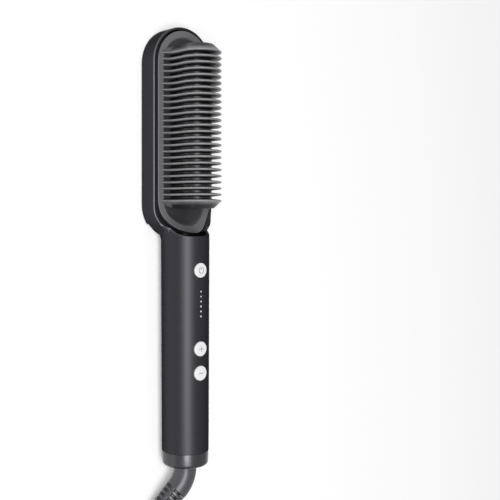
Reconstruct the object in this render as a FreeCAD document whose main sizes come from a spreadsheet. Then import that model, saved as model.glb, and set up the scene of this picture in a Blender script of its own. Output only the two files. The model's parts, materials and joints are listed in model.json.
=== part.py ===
import FreeCAD, Part
import math
import os
import re

import Sketcher

# Heated hair straightener brush, in millimetres.
# The brush lies on its back: +Z is the side of the comb, +Y runs along the handle to the tip of the
# head, and X runs across. Z = 0 is the flat face of the ring on the back of the head.

Vector = FreeCAD.Vector
doc = FreeCAD.newDocument("HairBrush")
sheet = doc.addObject("Spreadsheet::Sheet", "Sizes")

DRIVING_SIZES = [
    # head and handle
    ("head_radius", 25.0),
    ("head_tip_y", 144.0),
    ("head_low_y", 1.4),
    ("head_height", 14.5),
    ("head_back_round", 2.4),
    ("head_wall", 1.6),
    ("tray_floor", 1.4),
    ("back_recess", 3.0),
    ("cavity_low_y", 7.0),
    ("neck_radius", 12.5),
    ("scoop_end_y", 6.0),
    ("shoulder_rise", 2.0),
    ("handle_radius", 16.0),
    ("handle_taper", 0.5),
    ("handle_end_y", -134.5),
    ("handle_wall", 1.9),
    # comb guard
    ("guard_gap", 1.0),
    ("guard_rise", 1.3),
    ("guard_low_y", 8.2),
    ("guard_plate", 2.0),
    ("guard_skirt", 1.5),
    ("guard_rim_band", 4.6),
    ("guard_step", 0.8),
    ("window_half_width", 11.6),
    ("rib_half_width", 14.2),
    ("rib_crest_z", 44.8),
    ("rib_edge", 1.3),
    ("rib_root", 2.4),
    ("rib_taper_depth", 5.0),
    ("end_rib_root", 4.9),
    ("rib_pitch", 4.0),
    ("rib_count", 25.0),
    ("first_rib_y", 29.0),
    # heater
    ("heater_side_gap", 3.4),
    ("heater_plate", 2.4),
    ("heater_margin", 10.3),
    ("fin_half_width", 10.5),
    ("fin_crest_z", 37.0),
    ("fin_thickness", 1.2),
    ("element_width", 12.0),
    ("element_length", 44.0),
    ("element_thickness", 1.6),
    ("element_gap", 5.0),
    ("mica_thickness", 0.5),
    ("mica_half_width", 8.5),
    ("clamp_thickness", 1.0),
    ("clamp_inset", 2.0),
    ("clamp_screw_inset", 5.1),
    ("clamp_screw_spacing", 74.0),
    ("fuse_radius", 1.5),
    ("fuse_length", 11.0),
    # screws
    ("thread_gap", 0.03),
    ("guard_screw_radius", 1.2),
    ("guard_screw_length", 7.0),
    ("guard_boss_radius", 2.9),
    ("clamp_screw_radius", 1.3),
    ("clamp_screw_length", 3.6),
    ("clamp_boss_radius", 2.8),
    ("board_screw_radius", 1.2),
    ("board_screw_length", 5.0),
    ("retainer_screw_radius", 0.8),
    ("retainer_screw_length", 4.0),
    # back
    ("ring_margin", 2.4),
    ("ring_band", 4.1),
    ("ring_low_y", 4.7),
    ("ring_gap", 0.1),
    ("panel_recess", 0.3),
    # controls
    ("button_radius", 5.0),
    ("button_gap", 0.15),
    ("button_rise", 0.3),
    ("button_travel", 0.5),
    ("button_flange", 0.7),
    ("button_depth", 4.8),
    ("button_flange_height", 0.8),
    ("power_y", -15.9),
    ("plus_y", -66.7),
    ("minus_y", -82.4),
    ("plunger_radius", 1.6),
    ("plunger_gap", 0.08),
    ("switch_size", 6.0),
    ("switch_height", 3.0),
    ("led_first_y", -29.6),
    ("led_pitch", 3.22),
    ("led_count", 6.0),
    ("led_pin_radius", 0.6),
    ("led_pin_gap", 0.05),
    # board
    ("board_depth", 11.0),
    ("board_thickness", 1.6),
    ("board_side_gap", 2.6),
    ("board_top_y", -5.0),
    ("board_low_y", -118.0),
    ("rail_height", 2.0),
    ("rail_overlap", 1.4),
    ("bridge_length", 6.0),
    ("bridge_height", 4.0),
    ("lead_drop", 5.8),
    ("lead_radius", 0.7),
    # end cap and swivel
    ("cap_length", 9.5),
    ("cap_inset", 0.1),
    ("cap_taper", 0.3),
    ("cap_round", 2.2),
    ("cap_floor", 2.5),
    ("spigot_wall", 1.6),
    ("spigot_length", 8.0),
    ("spigot_gap", 0.1),
    ("flange_inset", 3.0),
    ("flange_thickness", 2.0),
    ("swivel_gap", 0.1),
    ("bearing_gap", 0.06),
    ("flange_lip", 1.2),
    ("stem_radius", 4.0),
    ("stem_end_y", -126.0),
    ("retainer_thickness", 2.0),
    ("slip_ring_height", 1.0),
    ("slip_ring_width", 2.0),
    ("slip_ring_y", -134.0),
    ("slip_ring_spacing", 4.0),
    # strain relief
    ("boot_gap", 0.2),
    ("boot_inset", 1.5),
    ("elbow_start_y", -146.0),
    ("elbow_radius", 20.0),
    ("boot_length", 36.0),
    ("boot_tip_radius", 4.1),
    ("boot_rib_pitch", 3.5),
    # cord
    ("cord_radius", 3.0),
    ("coil_inner_turn", 26.0),
    ("coil_columns", 3.0),
    ("coil_layers", 3.0),
    ("tie_thickness", 0.6),
    ("tie_width", 9.0),
    ("plug_width", 30.0),
    ("plug_thickness", 13.7),
    ("plug_length", 34.0),
    ("pin_radius", 2.0),
    ("pin_length", 19.0),
    ("pin_spacing", 19.0),
]
for row, (alias, value) in enumerate(DRIVING_SIZES, start=1):
    sheet.set(f"A{row}", alias)
    sheet.set(f"B{row}", str(value))
    sheet.setAlias(f"B{row}", alias)
doc.recompute()

# Sizes that follow from the ones in the sheet.
DERIVED = {
    "head_low_centre_y": "(head_low_y + head_radius)",
    "handle_end_radius": "(handle_radius - handle_taper)",
    "handle_bore": "(handle_end_radius - handle_wall)",
    "heater_half_width": "(head_radius - head_wall - guard_gap - guard_skirt - heater_side_gap)",
    "clamp_half_width": "(heater_half_width - clamp_inset)",
    "clamp_screw_x": "(heater_half_width - clamp_screw_inset)",
    "ring_half_width": "(head_radius - ring_margin)",
    "button_flange_z": "(2 * handle_radius - button_depth)",
    "board_z": "(2 * handle_radius - board_depth)",
    "board_half_width": "(handle_bore - board_side_gap)",
    "rail_half_gap": "(board_half_width - rail_overlap)",
    "lead_z": "(board_z - lead_drop)",
    "cap_radius": "(handle_end_radius - cap_inset)",
    "cap_end_radius": "(cap_radius - cap_taper)",
    "cap_bore": "(handle_bore - spigot_gap - spigot_wall)",
    "flange_radius": "(cap_bore - flange_inset)",
    "neck_bore": "(flange_radius - flange_lip)",
    "boot_radius": "(neck_bore - boot_gap)",
    "retainer_screw_x": "(flange_radius + 1.3)",
}

# Lines of the head and handle that several pieces share, in words of the sizes above.
AXIS_Z = "handle_radius"
HEAD_TOP_CENTRE = "(head_tip_y - head_radius)"
SCOOP_RADIUS = "(2 * handle_radius - head_height)"
SCOOP_Y = f"(scoop_end_y + {SCOOP_RADIUS})"
SCOOP_Z = "(2 * handle_radius)"
TRAY_Z = "(back_recess + tray_floor)"
CAVITY_RADIUS = "(head_radius - head_wall)"
CAVITY_LOW_CENTRE = f"(cavity_low_y + {CAVITY_RADIUS})"
GUARD_RADIUS = f"({CAVITY_RADIUS} - guard_gap)"
GUARD_LOW_CENTRE = f"(guard_low_y + {GUARD_RADIUS})"
GUARD_Z = "(head_height + guard_rise)"
GUARD_UNDER_Z = f"({GUARD_Z} - guard_plate)"
SKIRT_RADIUS = f"({GUARD_RADIUS} - guard_skirt)"
RIB_CENTRE_Z = "(rib_crest_z - rib_half_width)"
RIB_SPAN = "((rib_count - 1) * rib_pitch)"
LAST_RIB_Y = f"(first_rib_y + {RIB_SPAN})"
COMB_MIDDLE_Y = f"(first_rib_y + {RIB_SPAN} / 2)"
HEATER_LOW_Y = "(guard_low_y + heater_margin)"
HEATER_LOW_CENTRE = f"({HEATER_LOW_Y} + heater_half_width)"
HEATER_TOP_CENTRE = f"({HEAD_TOP_CENTRE} - 7)"
HEATER_UNDER_Z = f"({GUARD_UNDER_Z} - heater_plate)"
ELEMENT_Z = f"({HEATER_UNDER_Z} - element_thickness)"
MICA_Z = f"({ELEMENT_Z} - mica_thickness)"
CLAMP_Z = f"({MICA_Z} - clamp_thickness)"
CLAMP_HALF_LENGTH = "(element_length + element_gap / 2 + 1)"
RING_RADIUS = "ring_half_width"
RING_LOW_CENTRE = "(ring_low_y + ring_half_width)"
BOARD_TOP_Z = "(board_z + board_thickness)"
SWITCH_TOP_Z = f"({BOARD_TOP_Z} + switch_height)"
BUTTON_TOP_Z = "(2 * handle_radius + button_rise)"
CAP_END_Y = "(handle_end_y - cap_length)"
CAP_FLOOR_Y = f"({CAP_END_Y} + cap_floor)"
FLANGE_Y = f"({CAP_FLOOR_Y} + swivel_gap)"
FLANGE_TOP_Y = f"({FLANGE_Y} + flange_thickness)"
RETAINER_Y = f"({FLANGE_TOP_Y} + swivel_gap)"
RETAINER_TOP_Y = f"({RETAINER_Y} + retainer_thickness)"
SPIGOT_END_Y = "(handle_end_y + spigot_length)"
BOOT_START_Y = f"({CAP_END_Y} + boot_inset)"

SUB_PARTS = []
ALONG = {
    "z": FreeCAD.Rotation(),
    "y": FreeCAD.Rotation(Vector(1, 0, 0), -90),
    "x": FreeCAD.Rotation(Vector(0, 1, 0), 90),
}
SIDE_VIEW = FreeCAD.Rotation(Vector(1, 1, 1), 120)


def formula(text):
    """The text with each size's name written as a cell of the sheet."""

    def cell(match):
        name = match.group()
        return formula(DERIVED[name]) if name in DERIVED else "Sizes." + name

    return re.sub(r"\b[a-z][a-z_0-9]*\b(?!\()", cell, text)


def number(text):
    """The value of a formula now."""
    return float(sheet.evalExpression(formula(text)))


def bind(item, prop, text):
    item.setExpression(prop, formula(text))


def place(item, x, y, z):
    bind(item, "Placement.Base.x", x)
    bind(item, "Placement.Base.y", y)
    bind(item, "Placement.Base.z", z)


def sub_part(item, node):
    """Marks an object as a piece of the brush, under the name of its file."""
    item.Label = node
    SUB_PARTS.append(item)
    return item


# ---- Part primitives and booleans, bound to the sheet


def box(name, x, y, z):
    """A box from (low, high) pairs along X, Y and Z."""
    item = doc.addObject("Part::Box", name)
    for prop, (low, high) in (("Length", x), ("Width", y), ("Height", z)):
        bind(item, prop, f"{high} - ({low})")
    place(item, x[0], y[0], z[0])
    return item


def cylinder(name, along, radius, start, length):
    item = doc.addObject("Part::Cylinder", name)
    bind(item, "Radius", radius)
    bind(item, "Height", length)
    item.Placement = FreeCAD.Placement(Vector(), ALONG[along])
    place(item, *start)
    return item


def cone(name, along, radii, start, length):
    item = doc.addObject("Part::Cone", name)
    bind(item, "Radius1", radii[0])
    bind(item, "Radius2", radii[1])
    bind(item, "Height", length)
    item.Placement = FreeCAD.Placement(Vector(), ALONG[along])
    place(item, *start)
    return item


def fuse(name, *items):
    item = doc.addObject("Part::MultiFuse", name)
    item.Shapes = list(items)
    item.Refine = True
    return item


def common(name, *items):
    item = doc.addObject("Part::MultiCommon", name)
    item.Shapes = list(items)
    item.Refine = True
    return item


def cut(name, base, *tools):
    item = doc.addObject("Part::Cut", name)
    item.Base = base
    item.Tool = tools[0] if len(tools) == 1 else fuse(name + "_tools", *tools)
    item.Refine = True
    return item


def group(name, items):
    """Separate solids kept as one node."""
    item = doc.addObject("Part::Compound", name)
    item.Links = list(items)
    return item


# ---- Sketches


def constrain_point(sketch, geometry, end, x, y):
    """Holds one point of a sketch at formulas of its own X and Y."""
    for kind, text, axis in (("DistanceX", x, -2), ("DistanceY", y, -1)):
        if text == "0":
            sketch.addConstraint(Sketcher.Constraint("PointOnObject", geometry, end, axis))
            continue
        index = sketch.addConstraint(
            Sketcher.Constraint(kind, -1, 1, geometry, end, number(text))
        )
        bind(sketch, f"Constraints[{index}]", text)


def constrain_x(sketch, geometry, end, x):
    index = sketch.addConstraint(Sketcher.Constraint("DistanceX", -1, 1, geometry, end, number(x)))
    bind(sketch, f"Constraints[{index}]", x)


def constrain_radius(sketch, geometry, text):
    index = sketch.addConstraint(Sketcher.Constraint("Radius", geometry, number(text)))
    bind(sketch, f"Constraints[{index}]", text)


def draw_polygon(sketch, points):
    corners = [Vector(number(x), number(y), 0) for x, y in points]
    count = len(points)
    for i in range(count):
        sketch.addGeometry(Part.LineSegment(corners[i], corners[(i + 1) % count]), False)
    for i in range(count):
        sketch.addConstraint(Sketcher.Constraint("Coincident", i, 2, (i + 1) % count, 1))
    for i, (x, y) in enumerate(points):
        constrain_point(sketch, i, 1, x, y)


def draw_racetrack(sketch, radius, low, high):
    """Two half circles on the Y axis, joined by straight sides."""
    r, bottom, top = number(radius), number(low), number(high)
    up = Vector(0, 0, 1)
    sketch.addGeometry(Part.ArcOfCircle(Part.Circle(Vector(0, top, 0), up, r), 0, math.pi), False)
    sketch.addGeometry(Part.LineSegment(Vector(-r, top, 0), Vector(-r, bottom, 0)), False)
    low_circle = Part.Circle(Vector(0, bottom, 0), up, r)
    sketch.addGeometry(Part.ArcOfCircle(low_circle, math.pi, 2 * math.pi), False)
    sketch.addGeometry(Part.LineSegment(Vector(r, bottom, 0), Vector(r, top, 0)), False)
    for i in range(4):
        sketch.addConstraint(Sketcher.Constraint("Tangent", i, 2, (i + 1) % 4, 1))
    sketch.addConstraint(Sketcher.Constraint("Equal", 0, 2))
    constrain_point(sketch, 0, 3, "0", high)
    constrain_point(sketch, 2, 3, "0", low)
    constrain_radius(sketch, 0, radius)


def draw_arch(sketch, half_width, base, crest):
    """Straight sides that rise from the base to a half circle."""
    a, low, top = number(half_width), number(base), number(crest)
    centre = top - a
    arc = Part.ArcOfCircle(Part.Circle(Vector(0, centre, 0), Vector(0, 0, 1), a), 0, math.pi)
    sketch.addGeometry(arc, False)
    sketch.addGeometry(Part.LineSegment(Vector(-a, centre, 0), Vector(-a, low, 0)), False)
    sketch.addGeometry(Part.LineSegment(Vector(-a, low, 0), Vector(a, low, 0)), False)
    sketch.addGeometry(Part.LineSegment(Vector(a, low, 0), Vector(a, centre, 0)), False)
    sketch.addConstraint(Sketcher.Constraint("Tangent", 0, 2, 1, 1))
    sketch.addConstraint(Sketcher.Constraint("Coincident", 1, 2, 2, 1))
    sketch.addConstraint(Sketcher.Constraint("Coincident", 2, 2, 3, 1))
    sketch.addConstraint(Sketcher.Constraint("Tangent", 3, 2, 0, 1))
    sketch.addConstraint(Sketcher.Constraint("Horizontal", 2))
    constrain_point(sketch, 0, 3, "0", f"{crest} - {half_width}")
    constrain_radius(sketch, 0, half_width)
    index = sketch.addConstraint(Sketcher.Constraint("DistanceY", -1, 1, 2, 1, low))
    bind(sketch, f"Constraints[{index}]", base)


def draw_under_scoop(sketch, low, high, floor, flat, centre_y, centre_z):
    """Seen from +X: all that lies under a flat top, whose low end sweeps up in a quarter circle."""
    y0, y1, z0 = number(low), number(high), number(floor)
    z1, yc, zc = number(flat), number(centre_y), number(centre_z)
    radius = zc - z1
    circle = Part.Circle(Vector(yc, zc, 0), Vector(0, 0, 1), radius)
    sketch.addGeometry(Part.LineSegment(Vector(y0, z0, 0), Vector(y1, z0, 0)), False)
    sketch.addGeometry(Part.LineSegment(Vector(y1, z0, 0), Vector(y1, z1, 0)), False)
    sketch.addGeometry(Part.LineSegment(Vector(y1, z1, 0), Vector(yc, z1, 0)), False)
    sketch.addGeometry(Part.ArcOfCircle(circle, math.pi, 1.5 * math.pi), False)
    sketch.addGeometry(Part.LineSegment(Vector(yc - radius, zc, 0), Vector(y0, zc, 0)), False)
    sketch.addGeometry(Part.LineSegment(Vector(y0, zc, 0), Vector(y0, z0, 0)), False)
    corners = ((0, 2, 1, 1), (1, 2, 2, 1), (2, 2, 3, 2), (3, 1, 4, 1), (4, 2, 5, 1), (5, 2, 0, 1))
    for first, start, second, end in corners:
        sketch.addConstraint(Sketcher.Constraint("Coincident", first, start, second, end))
    constrain_point(sketch, 0, 1, low, floor)
    constrain_point(sketch, 1, 1, high, floor)
    constrain_point(sketch, 2, 1, high, flat)
    constrain_x(sketch, 2, 2, centre_y)
    constrain_point(sketch, 3, 3, centre_y, centre_z)
    constrain_point(sketch, 4, 1, f"{centre_y} - ({centre_z} - {flat})", centre_z)
    constrain_point(sketch, 4, 2, low, centre_z)


def racetrack(name, radius, low, high, z, height):
    """A prism on a racetrack outline, from z upward."""
    sketch = doc.addObject("Sketcher::SketchObject", name + "_outline")
    draw_racetrack(sketch, radius, low, high)
    bind(sketch, "Placement.Base.z", z)
    return extrude(name, sketch, Vector(0, 0, 1), height)


def extrude(name, sketch, direction, length, both=False):
    item = doc.addObject("Part::Extrusion", name)
    item.Base = sketch
    item.DirMode = "Custom"
    item.Dir = direction
    item.Solid = True
    item.Symmetric = both
    bind(item, "LengthFwd", length)
    return item


def under_scoop(name, low, flat):
    """The space under a scooped top, across the whole width of the head."""
    sketch = doc.addObject("Sketcher::SketchObject", name + "_profile")
    draw_under_scoop(sketch, low, "head_tip_y + 10", "-1", flat, SCOOP_Y, SCOOP_Z)
    sketch.Placement = FreeCAD.Placement(Vector(), SIDE_VIEW)
    return extrude(name, sketch, Vector(1, 0, 0), "4 * head_radius", both=True)


# ---- PartDesign bodies


def origin_feature(body, role):
    return [item for item in body.Origin.OriginFeatures if item.Role == role][0]


def new_body(node):
    return sub_part(doc.addObject("PartDesign::Body", node), node)


def new_sketch(body, name, role, offset):
    sketch = body.newObject("Sketcher::SketchObject", name)
    sketch.AttachmentSupport = (origin_feature(body, role), [""])
    sketch.MapMode = "FlatFace"
    bind(sketch, "AttachmentOffset.Base.z", offset)
    return sketch


def pad(body, name, sketch, length, midplane=False):
    item = body.newObject("PartDesign::Pad", name)
    item.Profile = sketch
    item.Midplane = midplane
    bind(item, "Length", length)
    return item


def pocket(body, name, sketch, length, upward):
    """Cuts a sketch's outline out of the body, upward or downward from the sketch."""
    doc.recompute()
    before = body.Shape.Volume
    item = body.newObject("PartDesign::Pocket", name)
    item.Profile = sketch
    item.Reversed = upward
    bind(item, "Length", length)
    doc.recompute()
    if body.Shape.Volume > before - 0.01:
        raise ValueError(name + " removes nothing")
    return item


def pattern(body, name, originals, role, length, count):
    item = body.newObject("PartDesign::LinearPattern", name)
    item.Originals = originals
    item.Direction = (origin_feature(body, role), [""])
    bind(item, "Length", length)
    bind(item, "Occurrences", count)
    body.Tip = item
    return item


def racetrack_body(node, radius, low, high, z, height):
    """A flat plate on a racetrack outline."""
    body = new_body(node)
    sketch = new_sketch(body, node + "_outline", "XY_Plane", z)
    draw_racetrack(sketch, radius, low, high)
    pad(body, node + "_pad", sketch, height)
    return body


def rectangle(x0, x1, y0, y1):
    return [(x0, y0), (x1, y0), (x1, y1), (x0, y1)]


def plate_body(node, x, y, z, height):
    """A flat rectangular plate from (low, high) pairs."""
    body = new_body(node)
    sketch = new_sketch(body, node + "_outline", "XY_Plane", z)
    draw_polygon(sketch, rectangle(x[0], x[1], y[0], y[1]))
    pad(body, node + "_pad", sketch, height)
    return body


def cut_rectangle(body, name, x, y, z, depth):
    sketch = new_sketch(body, name + "_outline", "XY_Plane", z)
    draw_polygon(sketch, rectangle(x[0], x[1], y[0], y[1]))
    return pocket(body, name, sketch, depth, upward=True)


def cut_holes(body, name, centres, radius, z, depth):
    """Round holes that run upward from z."""
    sketch = new_sketch(body, name + "_circles", "XY_Plane", z)
    for i, (x, y) in enumerate(centres):
        circle = Part.Circle(Vector(number(x), number(y), 0), Vector(0, 0, 1), number(radius))
        sketch.addGeometry(circle, False)
        constrain_point(sketch, i, 3, x, y)
        constrain_radius(sketch, i, radius)
    return pocket(body, name, sketch, depth, upward=True)


# ---- Fasteners


def screws(node, centres, along, seat, radius, length, sign=1):
    """Pan head screws. seat is where the head bears, and the shank runs from it along sign."""
    head_radius, head_height = f"{radius} * 1.9", f"{radius} * 1.15"
    pieces = []
    for i, (x, y, z) in enumerate(centres):
        shank = {"x": x, "y": y, "z": z}
        head = dict(shank)
        shank[along] = seat if sign > 0 else f"{seat} - {length}"
        head[along] = f"{seat} - {head_height}" if sign > 0 else seat
        parts = [
            cylinder(f"{node}_shank_{i}", along, radius, list(shank.values()), length),
            cylinder(f"{node}_head_{i}", along, head_radius, list(head.values()), head_height),
        ]
        pieces.append(fuse(f"{node}_{i}", *parts))
    return sub_part(group(node, pieces), node)


# ---- Housing: handle tube, neck and the tray of the head


def make_housing():
    slab = racetrack("head_slab", "head_radius", "head_low_centre_y", HEAD_TOP_CENTRE, "0", SCOOP_Z)
    neck_x = "(handle_radius + neck_radius)"
    neck_reach = "(head_radius + neck_radius)"
    neck_y = f"(head_low_centre_y - sqrt({neck_reach} ^ 2 - {neck_x} ^ 2))"
    touch_x = f"({neck_x} * head_radius / {neck_reach})"
    touch_y = f"(head_low_centre_y - (head_low_centre_y - {neck_y}) * head_radius / {neck_reach})"
    web = doc.addObject("Sketcher::SketchObject", "neck_web_outline")
    draw_polygon(web, rectangle(f"-{touch_x}", touch_x, neck_y, touch_y))
    neck_web = extrude("neck_web", web, Vector(0, 0, 1), SCOOP_Z)
    # the neck flares out of the handle on a quarter circle turned about the handle's axis
    flare = doc.addObject("Sketcher::SketchObject", "neck_flare_profile")
    draw_flare(flare, neck_x, neck_y)
    trumpet = doc.addObject("Part::Revolution", "neck_flare")
    trumpet.Source = flare
    trumpet.Axis = Vector(0, 1, 0)
    trumpet.Solid = True
    bind(flare, "Placement.Base.z", AXIS_Z)
    bind(trumpet, "Base.z", AXIS_Z)
    head_top = under_scoop("head_under_scoop", "handle_end_y", "head_height")
    shoulder = box(
        "head_shoulder",
        ("-2 * head_radius", "2 * head_radius"),
        ("handle_end_y", "head_tip_y + 1"),
        ("-1", f"{AXIS_Z} + shoulder_rise"),
    )
    edge = doc.addObject("Part::Fillet", "head_slab_rounded")
    edge.Base = slab
    doc.recompute()
    low_edges = [
        i for i, e in enumerate(slab.Shape.Edges, start=1) if e.BoundBox.ZMax < 0.001
    ]
    radius = number("head_back_round")
    edge.Edges = [(i, radius, radius) for i in low_edges]
    plan = fuse("head_plan", edge, neck_web)
    head = common("head_block", cut("head_flared", plan, trumpet), head_top, shoulder)
    tube = cone(
        "handle_cone",
        "y",
        ("handle_end_radius", "handle_radius"),
        ("0", "handle_end_y", AXIS_Z),
        f"{neck_y} - handle_end_y",
    )
    sleeve = cylinder(
        "handle_sleeve", "y", "handle_radius", ("0", neck_y, AXIS_Z), f"{SCOOP_Y} - {neck_y}"
    )
    sleeve_cut = common("handle_scooped", sleeve, head_top)
    outer = fuse("housing_outer", head, tube, sleeve_cut)
    bore = cylinder(
        "handle_bore_tool",
        "y",
        "handle_bore",
        ("0", "handle_end_y - 1", AXIS_Z),
        "cavity_low_y + 2 - handle_end_y + 1",
    )
    cavity = racetrack(
        "head_cavity", CAVITY_RADIUS, CAVITY_LOW_CENTRE, HEAD_TOP_CENTRE, TRAY_Z, SCOOP_Z
    )
    recess = racetrack(
        "back_recess_tool",
        "ring_half_width + ring_gap",
        RING_LOW_CENTRE,
        HEAD_TOP_CENTRE,
        "-1",
        "back_recess + 1",
    )
    tools = [bore, cavity, recess]
    for name, y in (("power", "power_y"), ("plus", "plus_y"), ("minus", "minus_y")):
        tools.append(
            cylinder(
                f"{name}_button_hole", "z", "button_radius + button_gap", ("0", y, BOARD_TOP_Z),
                "handle_radius + 2",
            )
        )
    for i in range(int(number("led_count"))):
        tools.append(
            cylinder(
                f"led_hole_{i}", "z", "led_pin_radius + led_pin_gap",
                ("0", f"led_first_y - {i} * led_pitch", BOARD_TOP_Z), "handle_radius + 2",
            )
        )
    for i, (x, y) in enumerate(GUARD_SCREW_PLACES):
        tools.append(
            cylinder(
                f"guard_screw_hole_{i}", "z", "guard_screw_radius + 0.2", (x, y, "back_recess - 1"),
                "tray_floor + 2",
            )
        )
    shell = cut("housing_shell", outer, *tools)
    # rails and two bridges that carry the circuit board
    length = ("board_low_y", "board_top_y")
    level = ("board_z - rail_height", "board_z")
    carriers = [
        box("rail_left", ("-handle_bore - 0.5", "-rail_half_gap"), length, level),
        box("rail_right", ("rail_half_gap", "handle_bore + 0.5"), length, level),
    ]
    across = ("-handle_bore", "handle_bore")
    bridge_level = ("board_z - bridge_height", "board_z")
    for name, (low, high) in zip(("top", "low"), BRIDGES):
        carriers.append(box(f"bridge_{name}", across, (low, high), bridge_level))
    inside = cylinder(
        "carrier_limit", "y", "handle_bore + 0.4", ("0", "board_low_y", AXIS_Z), "board_top_y - board_low_y"
    )
    carrier = common("board_carrier", fuse("board_carriers", *carriers), inside)
    threads = [
        cylinder(
            f"board_thread_{i}",
            "z",
            "board_screw_radius + thread_gap",
            (x, y, "board_z - bridge_height - 1"),
            "bridge_height + 2",
        )
        for i, (x, y) in enumerate(BOARD_SCREW_PLACES)
    ]
    drilled = cut("board_carrier_drilled", carrier, *threads)
    sub_part(fuse("body_housing", shell, drilled), "body_housing")


def draw_flare(sketch, neck_x, neck_y):
    """The space outside the flare of the neck: X is the distance from the handle's axis."""
    x, y, r = number(neck_x), number(neck_y), number("neck_radius")
    far = number("3 * head_radius")
    circle = Part.Circle(Vector(x, y, 0), Vector(0, 0, 1), r)
    sketch.addGeometry(Part.ArcOfCircle(circle, math.pi / 2, math.pi), False)
    sketch.addGeometry(Part.LineSegment(Vector(x - r, y, 0), Vector(far, y, 0)), False)
    sketch.addGeometry(Part.LineSegment(Vector(far, y, 0), Vector(far, y + r, 0)), False)
    sketch.addGeometry(Part.LineSegment(Vector(far, y + r, 0), Vector(x, y + r, 0)), False)
    for first, start, second, end in ((0, 2, 1, 1), (1, 2, 2, 1), (2, 2, 3, 1), (3, 2, 0, 1)):
        sketch.addConstraint(Sketcher.Constraint("Coincident", first, start, second, end))
    constrain_point(sketch, 0, 3, neck_x, neck_y)
    constrain_point(sketch, 1, 1, "handle_radius", neck_y)
    constrain_point(sketch, 2, 1, "3 * head_radius", neck_y)
    constrain_point(sketch, 3, 1, "3 * head_radius", f"{neck_y} + neck_radius")
    constrain_x(sketch, 3, 2, neck_x)


GUARD_SCREW_PLACES = [
    ("0", f"{HEAD_TOP_CENTRE} + ring_half_width - ring_band - 3.9"),
    ("-9", "guard_low_y + 9.4"),
    ("9", "guard_low_y + 9.4"),
]
BRIDGES = [
    ("board_top_y - bridge_length", "board_top_y"),
    ("board_low_y + 2", "board_low_y + 2 + bridge_length"),
]
BOARD_SCREW_PLACES = [("0", f"({low} + {high}) / 2") for low, high in BRIDGES]


# ---- Comb guard: scooped plate with a skirt, and the ribs that arch over the heater


def make_comb_guard():
    prism = racetrack("guard_prism", GUARD_RADIUS, GUARD_LOW_CENTRE, HEAD_TOP_CENTRE, TRAY_Z, SCOOP_Z)
    top = under_scoop("guard_top", "handle_end_y", GUARD_Z)
    under = under_scoop("guard_underside", "handle_end_y", GUARD_UNDER_Z)
    room = racetrack(
        "guard_room_prism", SKIRT_RADIUS, GUARD_LOW_CENTRE, HEAD_TOP_CENTRE, "-1", "2 * handle_radius + 2"
    )
    block = common("guard_block", prism, top)
    hollow = common("guard_room", room, under)
    window = box(
        "guard_window",
        ("-window_half_width", "window_half_width"),
        ("first_rib_y", LAST_RIB_Y),
        (TRAY_Z, f"{GUARD_Z} + 1"),
    )
    band_radius = f"({GUARD_RADIUS} - guard_rim_band)"
    step = racetrack(
        "guard_step_tool",
        band_radius,
        f"guard_low_y + {band_radius} + guard_rim_band + 8",
        HEAD_TOP_CENTRE,
        f"{GUARD_Z} - guard_step",
        "10",
    )
    doorway = box(
        "lead_doorway",
        ("-6", "6"),
        ("guard_low_y - 1", "guard_low_y + guard_skirt + 3"),
        (TRAY_Z, GUARD_UNDER_Z),
    )
    plate = cut("guard_plate_cut", block, hollow, window, step, doorway)
    bosses = []
    post_limit = under_scoop("guard_post_limit", "handle_end_y", f"({GUARD_UNDER_Z} + 0.8)")
    for i, (x, y) in enumerate(GUARD_SCREW_PLACES):
        post = cylinder(f"guard_post_{i}", "z", "guard_boss_radius", (x, y, TRAY_Z), SCOOP_Z)
        held = common(f"guard_post_trimmed_{i}", post, post_limit)
        hole = cylinder(
            f"guard_post_bore_{i}", "z", "guard_screw_radius + thread_gap", (x, y, f"{TRAY_Z} - 1"),
            "guard_screw_length",
        )
        bosses.append(cut(f"guard_boss_{i}", held, hole))
    ribs = make_ribs()
    sub_part(fuse("comb_guard", plate, ribs, *bosses), "comb_guard")


def rib_outline(low_root, high_root, half):
    """The cross-section of a rib in plan: thin at its edge, thicker towards the middle."""
    core = "(rib_half_width - rib_taper_depth)"
    edge = "(rib_edge / 2)"
    out, low, high = "rib_half_width", f"-{low_root}", high_root
    right = [(core, low), (out, f"-{edge}"), (out, edge), (core, high)]
    if half:
        return [("0", low)] + right + [("0", high)]
    return right + [(f"-{core}", high), (f"-{out}", edge), (f"-{out}", f"-{edge}"), (f"-{core}", low)]


def make_ribs():
    """All the ribs as one body: 25 alike in a row, and a thicker one at each end of the row."""
    body = doc.addObject("PartDesign::Body", "rib_row")
    row = rib_features(body, "rib", "rib_root / 2", "rib_root / 2", "first_rib_y")
    pattern(body, "rib_pattern", row, "Y_Axis", RIB_SPAN, "rib_count")
    doc.recompute()
    rib_features(body, "low_end_rib", "end_rib_root", "rib_root / 2", "first_rib_y")
    last = rib_features(body, "high_end_rib", "rib_root / 2", "end_rib_root", LAST_RIB_Y)
    body.Tip = last[-1]
    return body


def rib_features(body, name, low_root, high_root, y):
    """The straight sides of a rib as a pad, and its round top as half a turn."""
    stem = new_sketch(body, name + "_section", "XY_Plane", GUARD_UNDER_Z)
    draw_polygon(stem, rib_outline(low_root, high_root, half=False))
    bind(stem, "AttachmentOffset.Base.y", y)
    sides = pad(body, name + "_sides", stem, f"{RIB_CENTRE_Z} - {GUARD_UNDER_Z}")
    dome = new_sketch(body, name + "_half_section", "XY_Plane", RIB_CENTRE_Z)
    draw_polygon(dome, rib_outline(low_root, high_root, half=True))
    bind(dome, "AttachmentOffset.Base.y", y)
    top = body.newObject("PartDesign::Revolution", name + "_top")
    top.Profile = dome
    top.ReferenceAxis = (dome, ["V_Axis"])
    top.Angle = 180
    top.Reversed = True
    return [sides, top]


# ---- Heater


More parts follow.
